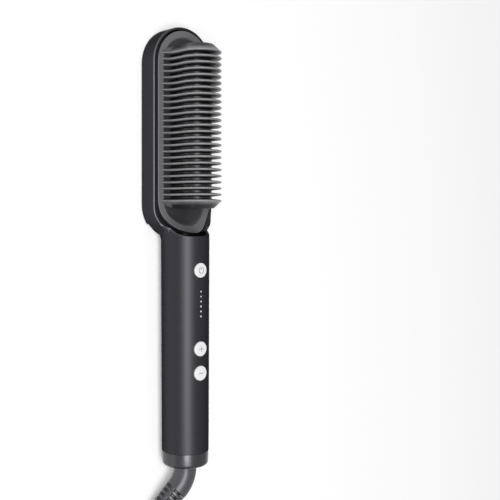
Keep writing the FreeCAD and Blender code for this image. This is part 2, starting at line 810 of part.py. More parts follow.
def make_heater():
    outline = ("heater_half_width", HEATER_LOW_CENTRE, HEATER_TOP_CENTRE)
    comb = racetrack_body("heater_comb", *outline, HEATER_UNDER_Z, "heater_plate")
    fin = new_sketch(comb, "fin_outline", "XZ_Plane", "-(first_rib_y + rib_pitch / 2)")
    draw_arch(fin, "fin_half_width", f"{GUARD_UNDER_Z} - 0.5", "fin_crest_z")
    one = pad(comb, "fin", fin, "fin_thickness", midplane=True)
    pattern(comb, "fin_row", [one], "Y_Axis", "(rib_count - 2) * rib_pitch", "rib_count - 1")
    bosses = new_sketch(comb, "clamp_boss_circles", "XY_Plane", MICA_Z)
    for i, (x, y) in enumerate(CLAMP_SCREW_PLACES):
        centre = Vector(number(x), number(y), 0)
        circle = Part.Circle(centre, Vector(0, 0, 1), number("clamp_boss_radius"))
        bosses.addGeometry(circle, False)
        constrain_point(bosses, i, 3, x, y)
        constrain_radius(bosses, i, "clamp_boss_radius")
    pad(comb, "clamp_bosses", bosses, f"{HEATER_UNDER_Z} - {MICA_Z} + 0.2")
    thread = "clamp_screw_radius + thread_gap"
    cut_holes(comb, "clamp_threads", CLAMP_SCREW_PLACES, thread, f"{MICA_Z} - 0.1", "3")
    for name, side in (("front", "-1"), ("rear", "1")):
        middle = f"({COMB_MIDDLE_Y} + {side} * (element_length + element_gap) / 2)"
        plate_body(
            f"heater_element_{name}",
            ("-element_width / 2", "element_width / 2"),
            (f"{middle} - element_length / 2", f"{middle} + element_length / 2"),
            ELEMENT_Z,
            "element_thickness",
        )
    span = (f"{COMB_MIDDLE_Y} - {CLAMP_HALF_LENGTH} + 3", f"{COMB_MIDDLE_Y} + {CLAMP_HALF_LENGTH}")
    hatch = (f"{COMB_MIDDLE_Y} - 2.4", f"{COMB_MIDDLE_Y} + 2.4")
    mica_x = ("-mica_half_width", "mica_half_width")
    mica = plate_body("insulator_sheet", mica_x, span, MICA_Z, "mica_thickness")
    cut_rectangle(mica, "mica_hatch", ("-3", "3"), hatch, f"{MICA_Z} - 0.1", "mica_thickness + 0.2")
    clamp_x = ("-clamp_half_width", "clamp_half_width")
    clamp = plate_body("clamp_plate", clamp_x, span, CLAMP_Z, "clamp_thickness")
    through = (f"{CLAMP_Z} - 0.1", "clamp_thickness + 0.2")
    cut_rectangle(clamp, "clamp_hatch", ("-3", "3"), hatch, *through)
    cut_holes(clamp, "clamp_holes", CLAMP_SCREW_PLACES, "clamp_screw_radius + 0.2", *through)
    centres = [(x, y, "0") for x, y in CLAMP_SCREW_PLACES]
    screws("clamp_screws", centres, "z", CLAMP_Z, "clamp_screw_radius", "clamp_screw_length")
    sub_part(
        box(
            "thermistor", ("-1.6", "1.6"), (f"{COMB_MIDDLE_Y} - 1.8", f"{COMB_MIDDLE_Y} + 1.8"),
            (ELEMENT_Z, HEATER_UNDER_Z),
        ),
        "thermistor",
    )
    fuse_start = ("8", f"{COMB_MIDDLE_Y} - 30", f"{CLAMP_Z} - fuse_radius - 0.05")
    sub_part(cylinder("thermal_fuse", "y", "fuse_radius", fuse_start, "fuse_length"), "thermal_fuse")
    racetrack_body("heat_shield", *outline, TRAY_Z, "0.5")
    places = [(x, y, "0") for x, y in GUARD_SCREW_PLACES]
    screws("guard_screws", places, "z", "back_recess", "guard_screw_radius", "guard_screw_length")


CLAMP_SCREW_PLACES = [
    (f"{side} * clamp_screw_x", f"{COMB_MIDDLE_Y} + {end} * clamp_screw_spacing / 2")
    for side in ("-1", "1")
    for end in ("-1", "1")
]


# ---- Back: ring and glossy panel


def make_back():
    ring = racetrack_body("back_ring", RING_RADIUS, RING_LOW_CENTRE, HEAD_TOP_CENTRE, "0", "back_recess")
    opening = new_sketch(ring, "ring_opening", "XY_Plane", "-1")
    draw_racetrack(opening, "ring_half_width - ring_band", RING_LOW_CENTRE, HEAD_TOP_CENTRE)
    pocket(ring, "ring_cut", opening, "back_recess + 2", upward=True)
    panel = racetrack_body(
        "back_panel", "ring_half_width - ring_band - ring_gap", RING_LOW_CENTRE, HEAD_TOP_CENTRE,
        "panel_recess", "back_recess - panel_recess",
    )
    head_room_z = "back_recess - guard_screw_radius * 1.3"
    cut_holes(panel, "screw_room", GUARD_SCREW_PLACES, "guard_screw_radius * 2.4", head_room_z, "2")


# ---- Circuit board and what is on it


def make_board():
    board_x = ("-board_half_width", "board_half_width")
    board_y = ("board_low_y", "board_top_y")
    board = plate_body("circuit_board", board_x, board_y, "board_z", "board_thickness")
    hole, depth = "board_screw_radius + 0.1", "board_thickness + 2"
    cut_holes(board, "board_holes", BOARD_SCREW_PLACES, hole, "board_z - 1", depth)
    centres = [(x, y, "0") for x, y in BOARD_SCREW_PLACES]
    screws("board_screws", centres, "z", BOARD_TOP_Z, "board_screw_radius", "board_screw_length", sign=-1)
    leds = []
    for i in range(int(number("led_count"))):
        y = f"led_first_y - {i} * led_pitch"
        level = (BOARD_TOP_Z, f"{BOARD_TOP_Z} + 0.6")
        leds.append(box(f"led_{i}", ("-0.8", "0.8"), (f"{y} - 0.5", f"{y} + 0.5"), level))
    sub_part(group("indicator_leds", leds), "indicator_leds")
    bar = box(
        "guide_bar", ("-1.4", "1.4"), ("led_first_y - (led_count - 1) * led_pitch - 2", "led_first_y + 2"),
        (f"{BOARD_TOP_Z} + 0.8", "handle_radius + handle_bore - 0.2"),
    )
    pins = [
        cylinder(
            f"guide_pin_{i}",
            "z",
            "led_pin_radius",
            ("0", f"led_first_y - {i} * led_pitch", f"{BOARD_TOP_Z} + 2"),
            f"2 * handle_radius - 0.15 - {BOARD_TOP_Z} - 2",
        )
        for i in range(int(number("led_count")))
    ]
    sub_part(fuse("light_guide", bar, *pins), "light_guide")
    under = "board_z"
    plate_body("controller_chip", ("-3", "3"), ("-60", "-50"), BOARD_TOP_Z, "1.6")
    plate_body("filter_capacitor", ("-6.5", "6.5"), ("-50", "-32"), f"{under} - 10", "10")
    tab = box("triac_tab", ("-5", "5"), ("-66", "-59"), (f"{under} - 1.3", under))
    case = box("triac_case", ("-5", "5"), ("-75", "-66"), (f"{under} - 4.5", under))
    eye = cylinder("triac_eye", "z", "1.8", ("0", "-62.5", f"{under} - 3"), "4")
    sub_part(cut("power_triac", fuse("triac_body", tab, case), eye), "power_triac")
    sub_part(cylinder("varistor", "y", "4.5", ("0", "-86", f"{under} - 4.5"), "4"), "varistor")
    tube = cylinder("fuse_tube", "y", "2.3", ("4", "-108", f"{under} - 2.6"), "20")
    ends = [
        cylinder(f"fuse_end_{i}", "y", "2.6", ("4", y, f"{under} - 2.6"), "5")
        for i, y in enumerate(("-108", "-93"))
    ]
    sub_part(fuse("line_fuse", tube, *ends), "line_fuse")
    plate_body("heater_connector", ("-4.5", "4.5"), ("-28", "-20"), f"{under} - 7.2", "7.2")
    plate_body("mains_connector", ("-4", "4"), ("-100", "-93"), BOARD_TOP_Z, "5")


# ---- Buttons


def make_button(name, y, symbol):
    """One cap with the plunger of its switch under it, and the switch's case on the board."""
    well = cylinder(
        f"{name}_well", "z", "plunger_radius + plunger_gap", ("0", y, f"{BOARD_TOP_Z} + 1"), "switch_height"
    )
    half = "switch_size / 2"
    along = (f"{y} - {half}", f"{y} + {half}")
    case = box(f"{name}_case", (f"-{half}", half), along, (BOARD_TOP_Z, SWITCH_TOP_Z))
    sub_part(cut(f"{name}_switch", case, well), f"{name}_switch")
    foot = f"{BOARD_TOP_Z} + 1 + button_travel + 0.3"
    sub_part(
        cylinder(f"{name}_plunger", "z", "plunger_radius", ("0", y, foot), f"button_flange_z - ({foot})"),
        f"{name}_plunger",
    )
    base = ("0", y, "button_flange_z")
    disc = cylinder(f"{name}_disc", "z", "button_radius", base, f"{BUTTON_TOP_Z} - button_flange_z")
    wide = "button_radius + button_flange"
    flange = cylinder(f"{name}_flange", "z", wide, base, "button_flange_height")
    engraving = symbol(name, y)
    sub_part(cut(f"{name}_button", fuse(f"{name}_cap", disc, flange), engraving), f"{name}_button")


ENGRAVED_Z = (f"{BUTTON_TOP_Z} - 0.25", f"{BUTTON_TOP_Z} + 1")


def minus_symbol(name, y):
    return box(f"{name}_bar", ("-1.7", "1.7"), (f"{y} - 0.3", f"{y} + 0.3"), ENGRAVED_Z)


def plus_symbol(name, y):
    upright = box(f"{name}_upright", ("-0.3", "0.3"), (f"{y} - 1.7", f"{y} + 1.7"), ENGRAVED_Z)
    return fuse(f"{name}_cross", minus_symbol(name, y), upright)


def power_symbol(name, y):
    """A ring open at the top, with a short upright in the gap."""
    height = "1.25"
    outer = cylinder(f"{name}_ring_outer", "z", "2.1", ("0", y, ENGRAVED_Z[0]), height)
    inner = cylinder(f"{name}_ring_inner", "z", "1.6", ("0", y, ENGRAVED_Z[0]), height)
    gap = box(f"{name}_ring_gap", ("-0.8", "0.8"), (y, f"{y} + 3"), ENGRAVED_Z)
    upright = box(f"{name}_upright", ("-0.25", "0.25"), (f"{y} + 0.3", f"{y} + 2.3"), ENGRAVED_Z)
    return fuse(f"{name}_sign", cut(f"{name}_open_ring", outer, inner, gap), upright)


# ---- End cap and swivel


def make_end():
    wall = cone("cap_wall", "y", ("cap_end_radius", "cap_radius"), ("0", CAP_END_Y, AXIS_Z), "cap_length")
    rounded = doc.addObject("Part::Fillet", "cap_rounded")
    rounded.Base = wall
    doc.recompute()
    low = [i for i, e in enumerate(wall.Shape.Edges, start=1) if e.BoundBox.YMax < number(CAP_END_Y) + 0.01]
    radius = number("cap_round")
    rounded.Edges = [(i, radius, radius) for i in low]
    spigot = cylinder(
        "cap_spigot", "y", "handle_bore - spigot_gap", ("0", "handle_end_y - 1", AXIS_Z), "spigot_length + 1"
    )
    cap_room = f"{SPIGOT_END_Y} + 1 - {RETAINER_Y}"
    flange_room = f"{RETAINER_Y} + 0.5 - {CAP_FLOOR_Y}"
    tools = [
        cylinder("cap_room", "y", "cap_bore", ("0", RETAINER_Y, AXIS_Z), cap_room),
        cylinder("flange_room", "y", "flange_radius + 0.2", ("0", CAP_FLOOR_Y, AXIS_Z), flange_room),
        cylinder("cap_mouth", "y", "neck_bore", ("0", f"{CAP_END_Y} - 1", AXIS_Z), "cap_floor + 2"),
    ]
    for i, (x, z) in enumerate(RETAINER_SCREW_PLACES):
        tools.append(
            cylinder(
                f"retainer_thread_{i}",
                "y",
                "retainer_screw_radius + thread_gap",
                (x, f"{RETAINER_Y} - 2.2", z),
                "3",
            )
        )
    sub_part(cut("end_cap", fuse("cap_blank", rounded, spigot), *tools), "end_cap")
    disc = cylinder("retainer_disc", "y", "cap_bore - 0.1", ("0", RETAINER_Y, AXIS_Z), "retainer_thickness")
    hole_start, hole_length = f"{RETAINER_Y} - 1", "retainer_thickness + 2"
    bearing = "stem_radius + bearing_gap"
    holes = [cylinder("retainer_bore", "y", bearing, ("0", hole_start, AXIS_Z), hole_length)]
    for i, (x, z) in enumerate(RETAINER_SCREW_PLACES):
        start = (x, hole_start, z)
        hole = cylinder(f"retainer_hole_{i}", "y", "retainer_screw_radius + 0.1", start, hole_length)
        holes.append(hole)
    sub_part(cut("swivel_retainer", disc, *holes), "swivel_retainer")
    centres = [(x, "0", z) for x, z in RETAINER_SCREW_PLACES]
    screws(
        "retainer_screws",
        centres,
        "y",
        RETAINER_TOP_Y,
        "retainer_screw_radius",
        "retainer_screw_length",
        sign=-1,
    )
    neck_length = f"{FLANGE_Y} + 0.5 - {BOOT_START_Y}"
    neck = cylinder("stem_neck", "y", "neck_bore - swivel_gap", ("0", BOOT_START_Y, AXIS_Z), neck_length)
    flange = cylinder("stem_flange", "y", "flange_radius", ("0", FLANGE_Y, AXIS_Z), "flange_thickness")
    shaft_start = f"{FLANGE_TOP_Y} - 0.5"
    shaft_length = f"stem_end_y - {FLANGE_TOP_Y} + 0.5"
    shaft = cylinder("stem_shaft", "y", "stem_radius", ("0", shaft_start, AXIS_Z), shaft_length)
    sub_part(fuse("swivel_stem", neck, flange, shaft), "swivel_stem")
    rings = []
    for i in range(2):
        start = ("0", f"slip_ring_y + {i} * slip_ring_spacing", AXIS_Z)
        outer = cylinder(f"slip_outer_{i}", "y", "stem_radius + slip_ring_height", start, "slip_ring_width")
        inner = cylinder(f"slip_inner_{i}", "y", "stem_radius + 0.02", start, "slip_ring_width")
        rings.append(cut(f"slip_ring_{i}", outer, inner))
    sub_part(group("slip_rings", rings), "slip_rings")
    block_z = f"({AXIS_Z} + 8)"
    block_length = ("slip_ring_y - 1", "slip_ring_y + slip_ring_spacing + slip_ring_width + 1")
    block = box("contact_blank", ("-4", "4"), block_length, (block_z, f"{AXIS_Z} + cap_bore"))
    limit = cylinder(
        "contact_limit",
        "y",
        "cap_bore - 0.02",
        ("0", block_length[0], AXIS_Z),
        f"{block_length[1]} - ({block_length[0]})",
    )
    sub_part(common("contact_block", block, limit), "contact_block")
    springs = []
    for i in range(2):
        y = f"slip_ring_y + {i} * slip_ring_spacing"
        springs.append(
            box(
                f"contact_{i}", ("-1.5", "1.5"), (f"{y} + 0.4", f"{y} + slip_ring_width - 0.4"),
                (f"{AXIS_Z} + stem_radius + slip_ring_height + bearing_gap", block_z),
            )
        )
    sub_part(group("contact_springs", springs), "contact_springs")


RETAINER_SCREW_PLACES = [(f"{side} * retainer_screw_x", AXIS_Z) for side in ("-1", "1")]


# ---- Leads inside the housing, the cord and its pieces


def rounded_wire(points, share=0.45):
    """Straight runs joined by arcs that touch them. Each arc is as large as its two runs allow."""
    edges, at, radii = [], points[0], []
    for before, corner, after in zip(points, points[1:], points[2:]):
        back, ahead = before - corner, after - corner
        turn = math.pi - back.getAngle(ahead)
        reach = share * min(back.Length, ahead.Length)
        radii.append(reach / math.tan(turn / 2))
        start = corner + back.normalize() * reach
        end = corner + ahead.normalize() * reach
        bisector = (back + ahead).normalize()
        depth = radii[-1] / math.cos(turn / 2) - radii[-1]
        edges.append(Part.makeLine(at, start))
        edges.append(Part.Arc(start, corner + bisector * depth, end).toShape())
        at = end
    edges.append(Part.makeLine(at, points[-1]))
    return Part.Wire(edges), radii


def tube_shape(points, radius):
    wire, radii = rounded_wire(points)
    heading = points[1] - points[0]
    profile = Part.Wire([Part.makeCircle(radius, points[0], heading)])
    solid = wire.makePipeShell([profile], True, False)
    share = solid.Volume / (math.pi * radius**2 * wire.Length)
    if abs(share - 1) > 0.01:
        raise ValueError(f"a tube has {share:.3f} of the volume of its section and length")
    return solid, radii, wire.Length


def feature(node, shape):
    item = doc.addObject("Part::Feature", node)
    item.Shape = shape
    item.Placement = FreeCAD.Placement()
    return sub_part(item, node)


def make_leads():
    radius = number("lead_radius")
    lead_z, shield_z = number("lead_z"), number(CLAMP_Z) - 1.6
    connector_y = -20.0
    element_y = number(f"{COMB_MIDDLE_Y} - element_length - element_gap / 2")
    element_z = number(f"{ELEMENT_Z} + element_thickness / 2")
    solids = []
    from_board = [(connector_y, lead_z), (-4, lead_z), (11, shield_z)]
    to_element = [(element_y - 7, shield_z), (element_y - 4, element_z), (element_y, element_z)]
    for x in (-3.2, 3.2):
        route = [Vector(x, y, z) for y, z in from_board + to_element]
        solids.append(tube_shape(route, radius)[0])
    feature("heater_leads", Part.Compound(solids))
    middle = number(COMB_MIDDLE_Y)
    solids = []
    to_sensor = [(middle, shield_z), (middle, number(ELEMENT_Z))]
    for x in (-0.9, 0.9):
        route = [Vector(x, y, z) for y, z in from_board + to_sensor]
        solids.append(tube_shape(route, 0.5)[0])
    feature("sensor_leads", Part.Compound(solids))
    gap = "element_gap"
    start = f"{COMB_MIDDLE_Y} - element_gap / 2"
    level = f"{ELEMENT_Z} + element_thickness / 2"
    jumpers = [
        cylinder(f"jumper_{i}", "y", "0.7", (x, start, level), gap) for i, x in enumerate(("-4", "4"))
    ]
    sub_part(group("heater_jumpers", jumpers), "heater_jumpers")
    block_end = "slip_ring_y + slip_ring_spacing + slip_ring_width + 1"
    leads = [
        cylinder(
            f"mains_lead_{i}",
            "y",
            "lead_radius",
            (x, block_end, f"{AXIS_Z} + cap_bore - 2.5"),
            f"-100 - ({block_end})",
        )
        for i, x in enumerate(("-2.6", "2.6"))
    ]
    sub_part(group("mains_leads", leads), "mains_leads")


# The boot bends down and to the side, so that the cord reaches the surface that the brush lies on.
BOOT_HEADING = Vector(-0.69, -0.69, -0.2187).normalize()


def boot_frame():
    """The elbow's start, its centre, its turn, and the point and heading where the ribs start."""
    start = Vector(0, number("elbow_start_y"), number(AXIS_Z))
    aside = Vector(BOOT_HEADING.x, 0, BOOT_HEADING.z).normalize()
    radius = number("elbow_radius")
    turn = math.acos(-BOOT_HEADING.y)
    centre = start + aside * radius
    end = centre - aside * radius * math.cos(turn) + Vector(0, -1, 0) * radius * math.sin(turn)
    return start, aside, centre, turn, end


def make_boot():
    start, aside, centre, turn, end = boot_frame()
    axis = aside.cross(Vector(0, 1, 0))
    boot_radius, tip = number("boot_radius"), number("boot_tip_radius")
    collar_start = Vector(0, number(BOOT_START_Y), number(AXIS_Z))
    collar = Part.makeCylinder(boot_radius, (start - collar_start).Length, collar_start, Vector(0, -1, 0))
    section = Part.Face(Part.Wire([Part.makeCircle(boot_radius, start, Vector(0, -1, 0))]))
    elbow = section.revolve(centre, axis, math.degrees(turn))
    length, pitch = number("boot_length"), number("boot_rib_pitch")
    root = boot_radius - 2.3
    core = Part.makeCone(root, tip - 0.8, length, end, BOOT_HEADING)
    taper = Part.makeCone(boot_radius, root, pitch * 1.2, end, BOOT_HEADING)
    ribs = []
    count = int((length - pitch) / pitch)
    for i in range(1, count + 1):
        at = pitch * (i + 0.25)
        radius = boot_radius - 1.1 + (tip - boot_radius + 1.1) * at / length
        thickness = pitch * 0.5
        drop = (boot_radius - 1.1 - tip) * thickness / length
        ribs.append(Part.makeCone(radius, radius - drop, thickness, end + BOOT_HEADING * at, BOOT_HEADING))
    last = Part.makeCone(tip + 0.25, tip, pitch, end + BOOT_HEADING * (length - pitch), BOOT_HEADING)
    solid = collar.multiFuse([elbow, core, taper, last] + ribs).removeSplitter()
    feature("strain_relief", solid)
    return end + BOOT_HEADING * length


def make_run(node, points):
    """A stretch of the cord that isn't coiled."""
    solid, radii, length = tube_shape(points, number("cord_radius"))
    print(f"{node}: length {length:.1f}, radii", [round(r, 1) for r in radii])
    feature(node, solid)


def make_cord(tip):
    radius = number("cord_radius")
    inner = number("coil_inner_turn")
    outer_turn = inner + (number("coil_columns") - 1) * 2 * radius
    base = number("tie_thickness")
    coil = Vector(*COIL_CENTRE, 0)
    make_run("power_cord", [tip] + [Vector(*point) for point in LEAD_ROUTE])
    ring_height = number("coil_layers") * 2 * radius
    disc = Part.makeCylinder(outer_turn + radius, ring_height, coil + Vector(0, 0, base))
    hole = Part.makeCylinder(inner - radius, ring_height + 2, coil + Vector(0, 0, base - 1))
    ring = disc.cut(hole)
    ring = ring.makeFillet(radius * 0.8, [e for e in ring.Edges if len(e.Vertexes) == 1])
    feature("power_cord_coil", ring)
    tail = [Vector(*point) for point in TAIL_ROUTE]
    make_run("power_cord_tail", tail)
    width = number("tie_width")
    gap = 0.3
    bulge = inner - radius - math.sqrt((inner - radius) ** 2 - (width / 2) ** 2)
    reach = 2 * radius * number("coil_columns") + 2 * gap + bulge
    inside = Part.makeBox(reach, width + 2, ring_height + gap)
    inside.translate(coil + Vector(-outer_turn - radius - gap, -width / 2 - 1, base))
    outside = Part.makeBox(inside.BoundBox.XLength + 2 * base, width, ring_height + gap + 2 * base)
    outside.translate(coil + Vector(-outer_turn - radius - gap - base, -width / 2, 0))
    feature("cord_tie", outside.cut(inside))
    make_plug(tail[-1])


def make_plug(at):
    """The plug lies flat on the coil, its pins towards +Y. The cord enters at its middle height."""
    length, width, thickness = number("plug_length"), number("plug_width"), number("plug_thickness")
    neck = 8.0
    low = at + Vector(0, neck, 0)
    sections = []
    for y, half_width, half_height in ((0, 6.5, 4.6), (length - neck, width / 2, thickness / 2)):
        corners = [(-1, -1), (1, -1), (1, 1), (-1, 1), (-1, -1)]
        points = [low + Vector(i * half_width, y, j * half_height) for i, j in corners]
        sections.append(Part.makePolygon(points))
    body = Part.makeLoft(sections, True, True)
    long_edges = [e for e in body.Edges if abs(e.tangentAt(e.FirstParameter).y) > 0.5]
    body = body.makeFillet(2.5, long_edges)
    stub = Part.makeCylinder(4.3, neck + 3, at, Vector(0, 1, 0))
    feature("plug_body", body.fuse(stub).removeSplitter())
    pins = []
    for side in (-1, 1):
        foot = at + Vector(side * number("pin_spacing") / 2, length, 0)
        radius = number("pin_radius")
        pin = Part.makeCylinder(radius, number("pin_length"), foot, Vector(0, 1, 0))
        tip = [e for e in pin.Edges if e.BoundBox.YMin > foot.y + 1 and len(e.Vertexes) == 1]
        pins.append(pin.makeFillet(radius * 0.5, tip))
    feature("plug_pins", Part.Compound(pins))


# The route of the cord that isn't coiled: points chosen by hand, from the boot's tip to the coil, and
# from the coil's last turn up over the tie and round to the plug on top.
COIL_CENTRE = (-22.6, -248.0)
LEAD_ROUTE = [
    (-41.5, -195.5, 3.1),
    (-53.0, -210.0, 3.1),
    (-60.0, -228.0, 3.4),
    (-60.6, -243.0, 3.6),
]
TAIL_ROUTE = [
    (-24.9, -221.7, 16.0),
    (-38.0, -226.0, 18.6),
    (-47.0, -236.6, 22.4),
    (-49.2, -249.4, 23.2),
    (-48.6, -267.0, 22.3),
    (-41.6, -279.0, 22.0),
    (-29.6, -286.0, 22.0),
    (-15.6, -286.0, 22.0),
    (-3.6, -279.0, 22.6),
    (3.4, -267.0, 24.8),
    (3.4, -254.0, 25.7),
]

make_housing()
make_comb_guard()
make_heater()
make_back()
make_board()
make_button("power", "power_y", power_symbol)
make_button("plus", "plus_y", plus_symbol)
make_button("minus", "minus_y", minus_symbol)
make_end()
make_leads()
boot_tip = make_boot()
make_cord(boot_tip)
doc.recompute()

failed = [item.Label for item in doc.Objects if {"Invalid", "Error"} & set(item.State)]
failed += [item.Label for item in SUB_PARTS if item.Shape.isNull() or not item.Shape.isValid()]
if failed:
    raise ValueError(f"not built: {failed}")
os.makedirs("parts", exist_ok=True)
for item in SUB_PARTS:
    item.Shape.exportStep(f"parts/{item.Label}.step")
    box_of = item.Shape.BoundBox
    print(
        f"{item.Label:22s} {len(item.Shape.Solids):3d} solids {item.Shape.Volume:10.1f} mm3"
        f"  x {box_of.XMin:7.1f} {box_of.XMax:7.1f}  y {box_of.YMin:7.1f} {box_of.YMax:7.1f}"
        f"  z {box_of.ZMin:6.2f} {box_of.ZMax:6.2f}"
    )
print(len(SUB_PARTS), "sub-parts")
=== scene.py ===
# %% [markdown]
# # A heated hair brush, built piece by piece
# The measured solids of the brush are loaded first and stay where they are. Each piece that shows is
# then made again as a fine surface in the same place, and each hidden piece gets its own finish.
# All numbers in the shape functions are millimetres, and one helper turns them into metres.

import json
import math

import bmesh
import bpy
import numpy as np
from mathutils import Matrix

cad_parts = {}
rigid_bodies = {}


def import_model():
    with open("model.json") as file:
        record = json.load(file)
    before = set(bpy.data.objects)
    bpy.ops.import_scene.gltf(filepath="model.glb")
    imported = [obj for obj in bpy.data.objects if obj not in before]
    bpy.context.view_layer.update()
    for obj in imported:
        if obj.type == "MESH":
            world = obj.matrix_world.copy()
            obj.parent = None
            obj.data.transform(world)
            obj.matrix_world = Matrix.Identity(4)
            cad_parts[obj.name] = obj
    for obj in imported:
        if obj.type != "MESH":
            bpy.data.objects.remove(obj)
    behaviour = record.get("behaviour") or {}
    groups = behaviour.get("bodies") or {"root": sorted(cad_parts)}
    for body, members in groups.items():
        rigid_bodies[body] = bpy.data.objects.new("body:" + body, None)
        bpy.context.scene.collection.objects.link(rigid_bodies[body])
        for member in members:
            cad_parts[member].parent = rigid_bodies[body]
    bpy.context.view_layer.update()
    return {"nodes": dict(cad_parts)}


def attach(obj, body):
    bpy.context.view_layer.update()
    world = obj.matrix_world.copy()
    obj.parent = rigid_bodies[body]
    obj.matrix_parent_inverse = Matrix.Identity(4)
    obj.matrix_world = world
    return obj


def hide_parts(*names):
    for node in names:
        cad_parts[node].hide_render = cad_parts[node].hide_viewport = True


MM = 0.001  # a millimetre in metres
PER_METRE = 1000.0  # millimetres in a metre

for leftover in list(bpy.data.objects):
    bpy.data.objects.remove(leftover)
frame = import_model()

# %% [markdown]
# ## The camera
# The brush lies on its back with the comb up. A camera could look straight down, but from 40 degrees to
# one side it sees both the comb's ribs and the flank of the handle, so the camera stands there. Its
# shift keeps the brush in the left half of a square picture, with free room on the right.


# %% Place the camera
def put_in_scene(name, data):
    """A new object for this mesh, curve, camera or light, linked to the scene."""
    thing = bpy.data.objects.new(name, data)
    bpy.context.scene.collection.objects.link(thing)
    return thing


camera_data = bpy.data.cameras.new("view_camera")
camera_data.sensor_width = 36.0
camera_data.lens = 61.04
camera_data.shift_x = 0.1296
camera_data.shift_y = -0.068
camera = put_in_scene("view_camera", camera_data)
camera.location = (-0.360, 0.0192, 0.445)
camera.rotation_euler = (0.0, math.radians(-40.0), 0.0)
bpy.context.scene.camera = camera
print("camera lens", camera_data.lens, "mm")

# %% [markdown]
# ## Moulded plastic, rubber and metal
# Almost every finish here is one base colour with a faint grain: the colour varies by a few percent, the
# gloss varies a little more, and a tiny bump breaks up the highlights. One helper makes them all from noise
# in the object's own coordinates, so a pattern stays put when the piece moves. Where a finish changes over
# one piece, each point of the mesh carries a number called a mark, and the shader goes over to a second
# colour by it. These marks paint light and shade: a painted highlight on the housing's rim and on the ribs'
# edges, and painted shade in the guard's recess, between the ribs and in the boot's slots.

# %% A helper for finishes
COAT_ROUGHNESS = 0.08
CLOUD_SIZE = 8  # a cloud of the wandering colour is this many grains across


def to_linear(colour):
    """sRGB 0..255 to linear: c / 12.92 when dark, else ((c + 0.055) / 1.055) ^ 2.4."""
    c = np.asarray(colour, float) / 255.0
    return np.where(c <= 0.04045, c / 12.92, ((c + 0.055) / 1.055) ** 2.4)


def add_noise(nodes, links, place, scale, detail):
    """Noise over the object's own coordinates, as a socket from 0 to 1."""
    noise = nodes.new("ShaderNodeTexNoise")
    noise.inputs["Scale"].default_value = scale
    noise.inputs["Detail"].default_value = detail
    links.new(place.outputs["Object"], noise.inputs["Vector"])
    return noise.outputs["Fac"]


def make_finish(
    name, colour, roughness, metallic=0.0, grain=1200.0, bump=0.00001, vary=0.08, specular=0.5, coat=0.0,
    rough_vary=0.08, mark=None, marked_colour=None, edge_tint=1.0,
):
    """A shader whose colour and gloss wander by noise, with a fine bump of the given height in metres.

    Where the mesh carries the named mark, the colour goes over to the marked one. A low edge_tint
    dims the mirror light of a metal where it is seen at a flat angle.
    """
    material = bpy.data.materials.new(name)
    material.use_nodes = True
    nodes, links = material.node_tree.nodes, material.node_tree.links
    shader = nodes["Principled BSDF"]
    shader.inputs["Metallic"].default_value = metallic
    shader.inputs["Specular IOR Level"].default_value = specular
    shader.inputs["Specular Tint"].default_value = (edge_tint, edge_tint, edge_tint, 1.0)
    shader.inputs["Coat Weight"].default_value = coat
    shader.inputs["Coat Roughness"].default_value = COAT_ROUGHNESS
    place = nodes.new("ShaderNodeTexCoord")
    cloud = add_noise(nodes, links, place, grain / CLOUD_SIZE, 3.0)
    tint = nodes.new("ShaderNodeMix")
    tint.data_type = "RGBA"
    base = to_linear(colour)
    tint.inputs["A"].default_value = (*np.clip(base * (1 - vary), 0, 1), 1.0)
    tint.inputs["B"].default_value = (*np.clip(base * (1 + vary), 0, 1), 1.0)
    links.new(cloud, tint.inputs["Factor"])
    colour_from = tint.outputs["Result"]
    if mark:
        marked = nodes.new("ShaderNodeAttribute")
        marked.attribute_name = mark
        change = nodes.new("ShaderNodeMix")
        change.data_type = "RGBA"
        change.inputs["B"].default_value = (*to_linear(marked_colour), 1.0)
        links.new(colour_from, change.inputs["A"])
        links.new(marked.outputs["Fac"], change.inputs["Factor"])
        colour_from = change.outputs["Result"]
    links.new(colour_from, shader.inputs["Base Color"])
    gloss = nodes.new("ShaderNodeMapRange")
    gloss.inputs["To Min"].default_value = max(roughness - rough_vary, 0.02)
    gloss.inputs["To Max"].default_value = min(roughness + rough_vary, 1.0)
    links.new(cloud, gloss.inputs["Value"])
    links.new(gloss.outputs["Result"], shader.inputs["Roughness"])
    relief = nodes.new("ShaderNodeBump")
    relief.inputs["Distance"].default_value = bump
    relief.inputs["Strength"].default_value = 1.0
    links.new(add_noise(nodes, links, place, grain, 2.0), relief.inputs["Height"])
    links.new(relief.outputs["Normal"], shader.inputs["Normal"])
    return material


def dress(data, material):
    """Leaves this finish as the only one on a mesh or a curve."""
    data.materials.clear()
    data.materials.append(material)


cable_jacket = make_finish("cable_jacket", (44, 44, 46), 0.55, grain=1500, bump=0.00002, specular=0.3)
# The boot's marked colour is painted shade in the depth of its slots.
boot_rubber = make_finish(
    "boot_rubber", (70, 70, 75), 0.36, grain=1500, bump=0.00001, specular=0.6, rough_vary=0.05,
    mark="painted_slot_shade", marked_colour=(14, 14, 16),
)
print("finishes:", cable_jacket.name, boot_rubber.name)

# %% [markdown]
# ## The cord
# A mains lead is a round rubber cable of one length, here 1.8 m of 6 mm cable. It leaves the ribbed
# boot, drops to the surface, and the rest is wound into three layers of three turns, held by a tie, with
# the plug lying on top. It could be a swept mesh, but a NURBS curve with a round bevel bends as smoothly
# as a real cable and needs only the points of its route.

